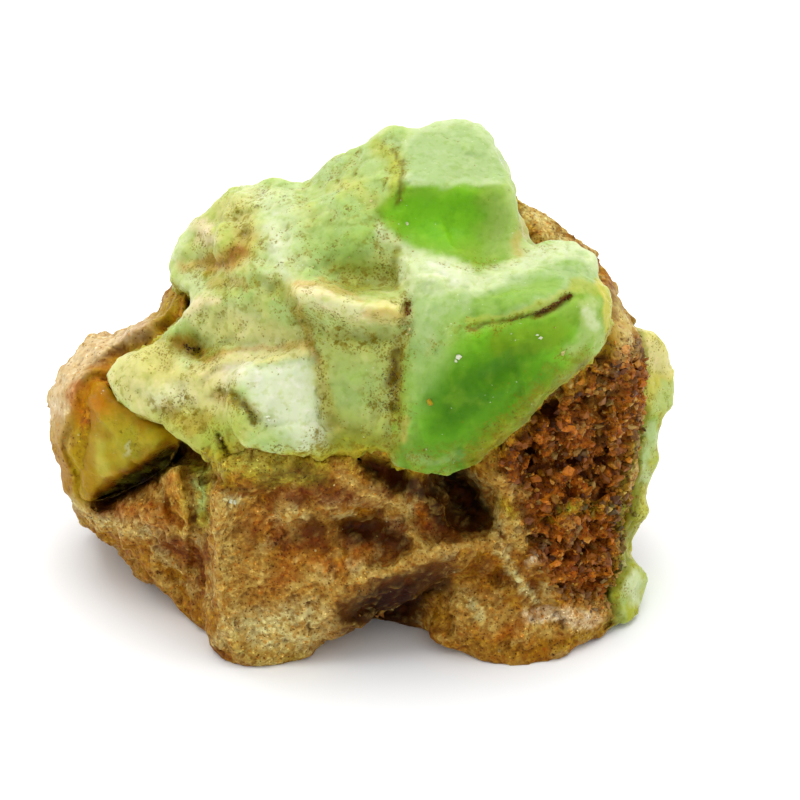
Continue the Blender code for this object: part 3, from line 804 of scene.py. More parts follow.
# The block is frosted over the straight crease and deep green under it
FROSTED_BLOCK = [
    (4.3, 47.8), (4.3, 51.3), (5.7, 53.9), (8.9, 55.0), (12.1, 55.0), (13.4, 52.3), (14.2, 50.3),
    (14.6, 47.9),
]
DARK_FACE = [
    (1.4, 45.4), (4.3, 47.8), (14.4, 47.8), (15.6, 46.6), (16.1, 44.8), (16.2, 42.0), (14.4, 39.9),
    (11.7, 39.6), (6.9, 40.9), (3.7, 42.4),
]
RIGHT_GREENS = [
    # The dark face of the block
    ("deep green", 1.0, [(2.4, 44.8), (4.4, 47.2), (10.9, 47.3), (12.4, 45.0), (11.2, 42.6), (7.9, 41.3),
        (4.4, 42.6)], 1.4),
    ("mint", 0.7, 1.8, [(15.2, 47.4), (16.3, 44.6), (15.9, 41.0)]),
    ("mint", 0.4, [(12.8, 47.4), (16.6, 47.4), (17.6, 44.0), (16.4, 40.4), (12.6, 40.8)], 1.6),
    ("bone", 0.5, 0.8, [(16.2, 44.0), (15.6, 41.2)]),
    ("milk", 0.25, 0.45, [(5.0, 48.3), (8.0, 47.9), (11.6, 47.9), (13.8, 48.2)]),
    ("olive", 0.6, 0.35, BLOCK_EDGE),
    # The saddle
    ("pale mint", 0.9, [(4.1, 40.6), (4.6, 36.6), (8.0, 36.6), (11.5, 38.6), (10.9, 39.9),
        (6.9, 40.9)], 0.5),
    ("moss", 0.6, 0.7, [(3.4, 41.4), (3.6, 37.4)]),
    # A painted highlight: the milk stroke stands for the light caught on top of the saddle
    ("milk", 0.6, 0.9, [(6.7, 39.9), (8.7, 39.1), (10.5, 38.0)]),
    # The lobe
    ("leaf", 0.85, [(5.2, 35.6), (10.9, 37.1), (16.3, 40.0), (21.9, 41.6), (25.0, 37.8), (24.9, 34.8),
        (22.9, 31.0), (15.9, 24.0), (10.9, 19.0), (3.9, 18.4), (2.7, 20.8), (3.1, 26.3), (3.9, 30.3),
        (4.9, 33.3)], 0.8),
    ("cool green", 0.8, [(4.4, 36.4), (8.4, 37.0), (10.8, 34.5), (8.8, 29.4), (6.8, 24.0),
        (4.6, 24.0)], 1.6),
    ("frost", 0.6, [(4.4, 36.4), (8.4, 37.0), (9.8, 35.5), (8.0, 31.4), (5.6, 30.0)], 1.4),
    ("pale mint", 0.2, [(4.8, 36.0), (9.0, 36.6), (9.0, 34.0), (6.6, 32.0), (5.0, 32.0)], 1.4),
    ("frost", 0.95, [(9.9, 36.9), (16.3, 40.1), (19.2, 41.4), (21.9, 42.6), (24.2, 40.4), (24.3, 37.8),
        (22.9, 37.1), (21.1, 37.3), (18.9, 36.0), (15.9, 35.1), (11.9, 34.7), (8.9, 35.1)], 0.7),
    ("leaf", 0.65, 1.5, [(12.1, 35.7), (15.5, 36.7), (19.0, 38.0)]),
    ("pale mint", 0.8, 1.5, [(11.0, 37.6), (16.3, 39.8), (19.2, 40.9), (21.9, 41.4), (23.8, 40.0)]),
    ("milk", 0.25, 0.8, [(15.6, 40.2), (19.2, 41.5), (21.9, 41.9), (23.0, 40.9)]),
    ("deep green", 0.95, [(11.4, 33.6), (17.9, 34.3), (22.4, 33.3), (22.0, 31.3), (18.9, 28.3),
        (14.9, 24.6), (10.9, 21.4), (6.0, 21.0), (5.4, 24.6), (8.4, 28.6)], 1.8),
    ("bottle green", 0.95, [(6.9, 28.0), (12.9, 31.6), (18.4, 32.0), (16.9, 28.8), (12.9, 25.0),
        (9.4, 22.4), (6.4, 23.0)], 2.0),
    ("moss", 0.35, 2.0, [(14.0, 32.0), (19.4, 32.8)]),
]
FRONT_GREENS = [
    ("bottle green", 0.5, [(3.4, 22.2), (9.0, 22.4), (11.4, 20.6), (9.4, 18.0), (3.6, 18.0)], 0.9),
    ("frost", 0.4, 0.6, [(4.6, 20.6), (7.4, 20.0), (10.0, 20.8)]),
    ("bottle green", 0.6, 2.4, [(10.4, 20.4), (14.0, 24.2), (18.6, 28.4)]),
    ("moss", 0.55, 1.6, [(11.6, 20.8), (14.8, 23.8), (18.4, 26.8), (22.4, 30.2)]),
    ("honey", 0.4, 1.0, [(11.8, 20.4), (14.4, 22.6)]),
    ("olive", 0.6, 0.9, [(11.0, 19.4), (15.4, 23.0), (19.4, 26.6), (22.8, 29.8)]),
    ("straw", 0.35, 0.5, [(10.9, 34.2), (13.0, 34.8), (16.0, 35.1), (18.4, 36.0), (21.0, 37.6)]),
    ("lime", 0.6, 1.0, [(21.4, 37.8), (23.6, 37.6)]),
    ("straw", 0.9, 0.8, [(23.9, 38.2), (24.8, 36.4), (24.6, 33.6)]),
    ("mint", 0.7, 1.3, [(22.9, 36.0), (22.9, 33.2), (21.4, 31.6)]),
    # A painted highlight: this pale mint stroke stands for the light caught at the lobe's right end
    ("pale mint", 0.8, 0.7, [(22.9, 35.2), (23.3, 33.8)]),
    ("olive", 0.65, 0.3, LOBE_CRACK),
    ("rust", 0.85, 0.5, [(17.4, 34.9), (19.4, 35.6), (21.1, 36.8)]),
    ("dark rust", 0.5, 0.3, [(17.8, 35.1), (19.4, 35.7), (20.9, 36.7)]),
    # The finger ridge and the wall under it
    ("mint", 0.8, [(-5.4, 34.6), (3.6, 34.6), (3.0, 22.0), (-2.8, 22.0), (-3.8, 28.0)], 0.8),
    ("moss", 0.2, [(-5.0, 33.6), (3.6, 33.0), (3.4, 21.0), (-3.4, 21.0), (-4.0, 28.0)], 1.2),
    ("straw", 0.2, [(-4.6, 33.4), (3.4, 33.4), (2.8, 27.0), (-0.4, 27.0), (-3.4, 29.4)], 1.3),
    ("cool green", 0.5, [(-2.4, 30.4), (2.4, 29.6), (2.4, 25.4), (-2.4, 25.4)], 1.4),
    ("lime", 0.4, [(-3.4, 25.0), (3.0, 24.6), (2.6, 20.0), (-4.0, 20.0)], 1.6),
    ("moss", 0.75, 2.2, [(-3.4, 22.4), (2.4, 21.6)]),
    ("cream", 0.95, 1.9, [(-6.2, 37.2), (-4.6, 37.0), (-2.6, 36.0), (0.0, 35.2), (3.9, 35.2)]),
    ("milk", 0.4, 1.3, [(-5.6, 37.0), (-2.6, 35.8), (0.6, 35.2)]),
    ("pink cream", 0.5, 0.7, [(-6.0, 37.3), (-3.0, 36.8)]),
    ("bone", 0.6, 0.9, [(0.4, 35.0), (3.8, 34.8)]),
    ("orange", 0.35, 0.45, [(-6.6, 37.8), (-4.1, 38.1), (-1.6, 37.2), (-0.1, 36.6)]),
    ("rust", 0.8, 0.55, [(4.6, 36.2), (4.6, 34.9)]),
    ("ochre", 0.3, 1.2, [(3.9, 32.4), (3.4, 29.6), (3.4, 27.2), (3.4, 24.6)]),
    ("umber", 0.7, 0.9, [(3.6, 30.8), (3.1, 28.2)]),
    ("dark rust", 0.5, 0.5, [(3.4, 29.8), (3.1, 28.6)]),
    ("umber", 0.4, 0.5, [(3.2, 26.4), (3.4, 25.4)]),
    ("bone", 0.5, 0.6, [(4.4, 24.6), (4.2, 22.6)]),
    # The middle ledge and its pit
    ("cream", 0.45, [(-18.0, 34.6), (-16.4, 36.4), (-14.6, 36.6), (-11.0, 35.8), (-6.4, 33.4),
        (-5.6, 31.8), (-14.6, 31.6)], 1.2),
    ("straw", 0.25, [(-15.0, 34.4), (-8.0, 34.0), (-6.0, 32.0), (-14.0, 32.0)], 1.2),
    ("pink cream", 0.6, 0.9, [(-17.4, 35.2), (-16.2, 36.2), (-14.6, 36.4)]),
    ("moss", 0.5, 1.0, [(-10.4, 38.4), (-7.6, 36.8), (-6.0, 34.6), (-5.0, 31.6)]),
    ("orange", 0.25, 0.7, [(-6.2, 35.6), (-5.2, 32.4)]),
    ("moss", 0.7, 2.0, [(-19.6, 31.4), (-17.4, 32.4), (-15.2, 30.6)]),
    ("ochre", 0.7, 1.3, [(-18.2, 32.1), (-16.4, 31.2)]),
    ("rust", 0.8, 0.8, [(-17.4, 31.8), (-16.4, 31.2)]),
    # The soot at the bottom of the pit is painted shade
    ("soot", 0.95, 0.5, [(-16.7, 31.2), (-16.2, 30.8)]),
    # The shelf
    ("cream", 0.75, [(-26.0, 28.6), (-24.2, 31.4), (-21.9, 32.3), (-19.6, 32.1), (-17.1, 29.1),
        (-14.6, 28.8), (-12.1, 26.3), (-11.1, 23.8), (-12.6, 20.0), (-15.5, 19.0), (-20.1, 21.0),
        (-22.4, 24.6)], 0.8),
    ("straw", 0.35, [(-22.6, 31.4), (-19.0, 31.4), (-17.6, 28.4), (-20.6, 27.6)], 1.2),
    ("milk", 0.4, [(-21.6, 27.4), (-17.6, 28.0), (-17.0, 26.0), (-20.6, 24.6)], 1.0),
    ("lime", 0.7, [(-21.1, 24.6), (-18.6, 25.6), (-13.6, 25.0), (-11.6, 23.8), (-13.1, 20.4),
        (-15.5, 19.4), (-20.1, 21.6)], 1.3),
    ("leaf", 0.4, [(-16.4, 23.4), (-13.4, 24.6), (-12.4, 22.4), (-13.6, 20.4), (-15.6, 21.4)], 1.0),
    ("leaf", 0.35, [(-13.6, 27.6), (-11.6, 27.4), (-10.0, 24.0), (-12.6, 23.4)], 0.8),
    ("ochre", 0.4, 1.1, [(-19.6, 25.8), (-18.4, 24.4), (-17.0, 23.6), (-15.6, 24.6)]),
    ("ochre", 0.45, 0.8, [(-14.2, 26.6), (-12.6, 26.2), (-10.6, 25.4)]),
    ("milk", 0.85, [(-13.0, 29.4), (-10.1, 30.3), (-5.6, 30.6), (-4.6, 28.3), (-4.3, 26.0), (-3.3, 23.8),
        (-3.9, 21.9), (-6.1, 21.4), (-7.9, 23.3), (-10.1, 24.4), (-11.3, 27.0)], 1.5),
    ("pink cream", 0.55, [(-16.4, 29.2), (-14.6, 30.2), (-11.0, 30.6), (-11.2, 28.4),
        (-13.4, 27.4)], 0.9),
    ("milk", 0.5, [(-13.4, 29.8), (-10.0, 30.4), (-10.6, 27.6), (-12.6, 27.8)], 0.9),
    ("cream", 0.7, 0.8, [(-16.8, 28.8), (-14.7, 30.2), (-11.9, 30.5), (-8.1, 30.8), (-5.3, 31.3)]),
    ("orange", 0.4, 0.5, [(-15.6, 30.4), (-12.4, 31.3), (-8.6, 31.6), (-5.0, 31.9), (-4.4, 30.4)]),
    ("straw", 0.5, 1.0, [(-4.2, 29.6), (-3.6, 27.0), (-2.8, 23.6)]),
    ("olive", 0.65, 0.8, [(-12.7, 26.5), (-11.4, 25.4), (-10.6, 24.4)]),
    ("umber", 0.7, 0.7, SHELF_PIT),
    ("olive", 0.5, 0.4, [(-14.2, 27.2), (-13.0, 26.8)]),
]
# Where dirt has settled: (share, half width, line)
GREEN_DIRT = [
    (1.0, 1.2, [(4.6, 36.4), (4.4, 33.0), (3.5, 29.6), (3.4, 27.0), (2.8, 23.0), (2.4, 20.6)]),
    (0.8, 0.9, [(10.9, 33.5), (15.2, 34.4), (17.6, 35.0), (21.2, 36.8)]),
    (0.5, 1.8, [(7.0, 31.6), (10.4, 33.2), (13.4, 33.4)]),
    (0.6, 2.2, [(5.4, 20.0), (11.0, 21.4), (16.0, 25.6), (21.6, 30.8)]),
    (0.95, 2.0, [(-19.0, 31.6), (-17.0, 31.6), (-15.0, 30.2)]),
    (0.85, 2.0, [(-16.6, 39.2), (-13.6, 40.0), (-12.0, 42.0), (-12.4, 45.0)]),
    (0.7, 1.6, [(-14.6, 37.4), (-11.4, 38.2)]),
    (0.95, 1.3, [(-14.2, 23.0), (-13.4, 20.4)]),
    (0.85, 1.8, [(-13.8, 26.8), (-10.8, 25.0)]),
    (0.9, 2.4, [(-20.4, 25.8), (-18.4, 24.2), (-15.4, 24.2)]),
    (0.85, 2.4, [(-2.6, 39.0), (0.4, 38.2), (3.0, 38.6)]),
    (0.6, 2.6, [(-0.4, 45.0), (1.8, 43.4), (2.4, 41.0)]),
    (0.7, 1.8, [(-10.6, 38.4), (-7.6, 36.6), (-5.6, 33.6), (-4.4, 31.2)]),
    (0.6, 1.2, [(-3.8, 29.4), (-3.2, 24.6)]),
    (0.95, 2.2, [(-2.6, 32.8), (1.0, 32.0), (3.0, 30.4)]),
    (0.8, 2.4, [(2.8, 28.4), (3.0, 24.4)]),
    (0.5, 1.4, [(-4.6, 34.4), (-1.0, 33.6)]),
    (0.6, 1.4, [(3.0, 51.4), (4.0, 50.0), (3.8, 46.4)]),
    (0.95, 1.8, [(-10.6, 20.8), (-4.0, 21.4), (1.6, 21.0)]),
    (0.6, 1.6, [(-10.6, 40.4), (-10.0, 37.4)]),
]


def paint_green(mesh, rock):
    """Lays on the greens of the mass and keeps where dirt settles."""
    coat = Coat(mesh, "mint")
    spots = coat.spots
    coat.veil("pale mint", 0.6, cloudy(spots, 4.0, 3, 1.0), -0.1, 0.5)
    coat.veil("cool green", 0.5, cloudy(spots, 3.4, 3, 4.0), 0.0, 0.5)
    coat.veil("straw", 0.3, cloudy(spots, 3.0, 3, 9.0), 0.05, 0.5)
    coat.paint(LEFT_GREENS)
    # The edges of the block are straight, so these two outlines don't waver
    steady = pictured(spots)
    coat.fill("frost", 0.95, FROSTED_BLOCK, 0.6, steady)
    coat.stroke("pale mint", 0.45, 1.0, [(5.4, 53.2), (9.0, 54.2), (12.0, 54.0), (13.4, 51.4)])
    coat.fill("leaf", 0.95, DARK_FACE, 0.5, steady)
    coat.paint(RIGHT_GREENS)
    on_lobe = smooth_step(inside_outline(coat.places, LOBE), 0.0, 2.0) * coat.facing
    coat.veil("leaf", 0.35, cloudy(spots, 2.0, 4, 12.0), 0.0, 0.6, on_lobe)
    coat.veil("bottle green", 0.25, cloudy(spots, 1.5, 4, 15.0), 0.1, 0.6, on_lobe)
    coat.paint(FRONT_GREENS)
    # Brown where dirt lies in the hollows
    hollow = hollowness(mesh, 10)
    clean = clean_share(mesh)
    dirt = 0.33 + 0.7 * cloudy(spots, 2.6, 4, 6.0) + 1.5 * hollow
    dirt *= 1 - 0.8 * clean
    for strength, half_width, line in GREEN_DIRT:
        near = smooth_step(distance_to_line(coat.places, line) / half_width, 1, 0.2)
        dirt = np.maximum(dirt, near * strength * coat.facing)
    coat.lay("lime", 0.2 * (1 - clean) * smooth_step(hollow, 0.0, 0.2))
    coat.lay("moss", 0.4 * (1 - clean) * smooth_step(hollow, 0.12, 0.4))
    # The glaze where it sits on the rock
    touching = nearness(mesh, rock, 2.4, ragged=0.5)
    coat.veil("lime", 0.6, touching, 0.05, 0.5)
    coat.veil("honey", 0.75, touching, 0.35, 0.8)
    coat.veil("umber", 0.6, touching, 0.7, 1.1)
    dirt = np.maximum(dirt, smooth_step(touching, 0.0, 0.6))
    coat.keep()
    keep_number(mesh, "dirt", dirt)
    return coat.colours


# The rock

# The crevice under the nodule and a pit in the rusty hollow, which are both pressed in and painted
CREVICE = [(-25.6, 16.4), (-23.4, 17.7), (-20.9, 19.3), (-19.0, 20.9)]
RUSTY_PIT = [(16.2, 22.4), (17.6, 19.6)]
# What is pressed in or raised, as on the green mass
NODULE_STROKES = [
    # Its face leans forward along the shelf and is cut off over the crevice
    (-0.9, 2.6, [(-25.4, 26.6), (-22.6, 24.6), (-20.4, 22.4)]),
    (0.5, 1.2, [(-27.6, 24.0), (-27.8, 20.0)]),
    (3.2, 1.6, CREVICE),
]
# How the nodule, and the rock's skin round it, are pulled: (reach, place, pull)
NODULE_PULLS = [
    (3.6, (-28.0, 21.6), (-1.4, 0.0, 0.7)),
    (2.8, (-26.6, 27.0), (-0.6, 1.2, 0.8)),
    (3.4, (-22.4, 25.0), (0.9, 1.1, 0.2)),
    (2.6, (-19.6, 22.4), (0.9, 0.8, 0.2)),
    (2.6, (-27.0, 16.6), (-0.9, -0.3, 0.7)),
]
# What is pressed in or raised on the rock
ROCK_STROKES = [
    # The dark hole under the lobe, and the dark gap left of it
    (5.0, 2.8, [(8.6, 19.4), (10.2, 17.4), (11.6, 15.0)]),
    (3.4, 1.7, [(0.8, 20.0), (3.4, 18.9)]),
    (2.2, 1.8, [(4.0, 18.4), (6.6, 17.8)]),
    (2.4, 2.4, [(5.4, 15.4), (8.0, 13.8)]),
    (-1.2, 1.4, [(13.6, 18.4), (14.6, 15.4), (15.8, 12.4)]),
    (-0.8, 1.1, [(3.6, 16.4), (5.0, 14.0), (5.6, 12.2)]),
    # Hollows on the buttress
    (1.9, 4.6, [(-8.6, 14.4), (-3.6, 13.4), (2.4, 12.6)]),
    (0.7, 1.6, [(-1.0, 13.6), (1.4, 12.8)]),
    (0.7, 0.9, [(-6.4, 12.4)]),
    (0.8, 0.8, [(3.6, 12.0)]),
    (-0.4, 1.6, [(-4.6, 16.6), (-3.4, 14.0), (-2.6, 11.0)]),
    (-0.6, 1.2, [(-8.4, 17.0), (-7.2, 14.4), (-6.6, 12.0)]),
    # The ledge, and the recess under it
    (-0.9, 1.7, [(-2.8, 6.8), (-0.8, 8.0), (1.7, 9.2), (5.8, 10.7), (8.4, 11.7), (13.3, 12.2)]),
    (1.5, 2.0, [(1.4, 6.4), (4.4, 8.0), (7.4, 8.8)]),
    (1.5, 1.7, [(-1.4, 5.2), (1.0, 5.4), (4.0, 5.6)]),
    # The rock comes out to meet the rim of the green mass
    (-0.9, 1.5, [(-13.4, 19.6), (-9.4, 19.2), (-4.6, 19.6), (-1.6, 20.0)]),
    (0.8, 1.6, [(2.0, 10.6), (6.0, 12.8)]),
    # The left edge of the buttress, and the notch left of it
    (-1.2, 1.2, [(-15.0, 17.4), (-14.4, 14.4), (-14.8, 10.0), (-13.6, 5.4), (-12.6, 2.0)]),
    (1.2, 1.4, [(-16.4, 12.4), (-16.0, 10.6), (-16.6, 8.6)]),
    (1.0, 2.0, [(-18.6, 8.6), (-17.0, 5.6)]),
    (-0.9, 1.4, [(-22.6, 10.8), (-19.6, 7.6)]),
    # The two prisms beside the buttress
    (-1.1, 1.1, [(-18.4, 19.6), (-17.8, 17.0), (-17.0, 14.0)]),
    (-0.9, 0.9, [(-16.4, 18.8), (-16.0, 16.0), (-15.8, 14.2)]),
    (0.5, 0.5, [(-17.2, 19.4), (-16.8, 16.6), (-16.4, 13.4)]),
    (0.7, 0.8, [(-19.8, 18.4), (-19.0, 15.0), (-18.4, 12.8)]),
    # The crevice under the nodule, the rock in it and the lip under it
    (4.2, 1.4, CREVICE),
    (-1.3, 1.8, [(-22.6, 15.6), (-20.6, 14.6)]),
    (-0.6, 1.8, [(-28.8, 16.4), (-26.4, 14.9), (-23.6, 14.2), (-19.5, 13.0), (-15.8, 13.2)]),
    # The channel and the crest of the left rim, and its inner side
    (1.0, 1.5, [(-26.4, 29.4), (-24.0, 31.0), (-20.6, 32.8), (-18.8, 34.0)]),
    (-0.8, 1.5, [(-30.4, 27.0), (-28.4, 30.6), (-25.0, 32.4), (-20.4, 34.2)]),
    (-0.7, 1.8, [(-29.2, 28.0), (-30.0, 25.4), (-30.2, 22.4), (-29.6, 19.4), (-29.0, 16.6)]),
    (-1.5, 1.5, [(-19.2, 35.2), (-18.2, 34.4)]),
    # Folds of the foot on the right
    (-0.7, 2.2, [(9.0, 5.6), (13.0, 3.6), (16.4, 3.0)]),
    (-1.0, 1.1, [(25.8, 9.6), (26.0, 6.4)]),
    (1.2, 1.6, [(17.0, 6.6), (19.6, 4.0)]),
    (-1.0, 1.7, [(21.0, 5.0), (24.6, 5.4)]),
    (0.8, 1.0, [(13.6, 8.6), (16.6, 7.4)]),
    (-1.0, 0.9, [(15.4, 8.8), (17.0, 6.6)]),
    (-1.1, 0.7, [(16.8, 10.2), (18.4, 10.8)]),
    # The rusty hollow and what stands out of it
    (2.0, 2.2, [(18.0, 20.6), (20.4, 20.0)]),
    (2.4, 1.3, RUSTY_PIT),
    (1.8, 1.4, [(22.6, 18.6), (24.2, 17.6)]),
    (1.6, 1.4, [(17.2, 24.0), (19.0, 26.0)]),
    (1.4, 1.6, [(20.6, 12.0), (22.0, 9.6)]),
    (1.4, 1.5, [(22.6, 27.4), (23.6, 25.0)]),
    (-1.2, 1.6, [(15.0, 21.6), (16.4, 22.6)]),
    (-1.0, 1.3, [(20.4, 24.6), (21.6, 23.0)]),
    (-1.0, 1.3, [(25.2, 22.4), (26.0, 20.0)]),
    (-1.2, 1.1, [(19.0, 14.6), (22.0, 15.6), (25.4, 15.2)]),
    (-1.0, 1.2, [(24.4, 33.6), (25.6, 31.0), (25.8, 28.4)]),
]
# Where the rock is smoother, at the left rim and the shoulder: (half width, line)
SMOOTH_ROCK = [
    (3.4, [(-29.6, 17.0), (-30.6, 25.4), (-27.4, 30.4), (-20.0, 34.2)]),
    (2.4, [(25.0, 36.0), (25.6, 32.0)]),
]
# The two prisms beside the buttress
PRISM = [(-19.4, 19.8), (-17.2, 20.2), (-16.6, 16.4), (-16.4, 13.2), (-18.0, 13.2), (-19.0, 16.4)]
GREEN_PRISM = [(-17.0, 20.2), (-15.2, 19.8), (-15.0, 16.6), (-15.4, 13.6), (-16.4, 13.4), (-16.6, 16.6)]
# The face of the nodule, as it is seen, which the rock's skin dips under
NODULE_FACE = [
    (-26.0, 28.4), (-27.8, 26.0), (-28.6, 22.4), (-28.6, 19.0), (-27.4, 16.8), (-25.2, 16.8), (-22.4, 18.4),
    (-19.2, 20.8), (-17.0, 22.6), (-19.0, 27.0), (-23.0, 29.0),
]
# The crumbly part, as it is seen
CRUMBLY = [
    (22.7, 30.0), (19.9, 28.4), (16.9, 25.4), (14.4, 22.3), (13.9, 20.1), (14.9, 18.3), (16.7, 16.3),
    (16.7, 13.3), (17.9, 11.1), (18.7, 8.8), (20.9, 6.4), (24.7, 5.6), (25.6, 9.3), (26.1, 14.3),
    (26.7, 19.3), (27.7, 23.3), (29.0, 26.4), (28.6, 30.0), (27.0, 32.4), (24.9, 31.6),
]


def crumbly_share(spots):
    """1 in the crumbly, rust-eaten part of the rock, 0 elsewhere."""
    back = spots[:, 1]
    ragged = inside_outline(pictured(spots), CRUMBLY) + 0.8 * cloudy(spots, 3.0, 3, 2.0)
    share = smooth_step(ragged, -1.0, 0.8)
    share *= smooth_step(back, 26.0, 18.0)
    behind = smooth_step(cloudy(spots, 11.0, 2, 8.0), 0.15, 0.45) * smooth_step(back, 20.0, 28.0)
    behind *= smooth_step(spots[:, 0], -17.0, -12.0) * smooth_step(spots[:, 2], 30.0, 25.0)
    return np.maximum(share, behind)


def smooth_share(mesh):
    """1 where the rock is smoother, 0 elsewhere."""
    places = pictured(spots_of(mesh))
    share = np.zeros(len(places))
    for half_width, line in SMOOTH_ROCK:
        share = np.maximum(share, smooth_step(distance_to_line(places, line) / half_width, 1, 0.5))
    return share * seen(mesh)


def cavities(spots, crumbly):
    """How deep the cavities of the crumbly part are at each spot, 1 at the deepest."""
    return crumbly * smooth_step(cloudy(spots, 2.3, 3, 3.3), 0.05, 0.45)


def rock_mesh(grown):
    """The rock: its hollows and ledges, its crumbly part, and its broken faces."""
    mesh = skin_of(["matrix", "amber_nodule"], ROCK_CELL, 4)
    pull(mesh, NODULE_PULLS)
    close_gap(mesh, grown)
    carve(mesh, ROCK_STROKES)
    spots = spots_of(mesh)
    crumbly = crumbly_share(spots)
    heights = 0.45 * facets(spots, 4.8, 1.0) + 0.4 * cloudy(spots, 3.6, 2, 1.1)
    heights += (0.3 + 0.2 * crumbly) * facets(spots, 1.7, 4.0)
    heights += (0.2 + 0.1 * crumbly) * cloudy(spots, 1.2, 3, 6.1)
    heights += 0.14 * facets(spots, 0.9, 2.7) + 0.16 * (1 - crumbly) * lumps(spots, 1.7, 5.0)
    middle, seam = cracked(spots, 1.9, 0.4)
    heights += crumbly * (0.55 * smooth_step(seam, 0.0, 0.3) - 0.9 * middle)
    heights += crumbly * (0.7 * cloudy(spots, 3.0, 4, 9.3) + 0.2)
    heights -= 2.0 * cavities(spots, crumbly)
    heights -= 0.5 * smooth_step(cloudy(spots, 1.4, 3, 3.3), 0.42, 0.7)
    heights *= smooth_step(spots[:, 2], 0.1, 1.6) * (1 - 0.6 * smooth_share(mesh))
    over_nodule = inside_outline(pictured(spots), NODULE_FACE)
    heights *= 1 - seen(mesh) * smooth_step(over_nodule, -1.6, -0.2)
    heights -= 1.2 * seen(mesh) * smooth_step(over_nodule, 0.1, 2.4)
    raise_by(mesh, heights)
    return worked(mesh, (soften, 1))


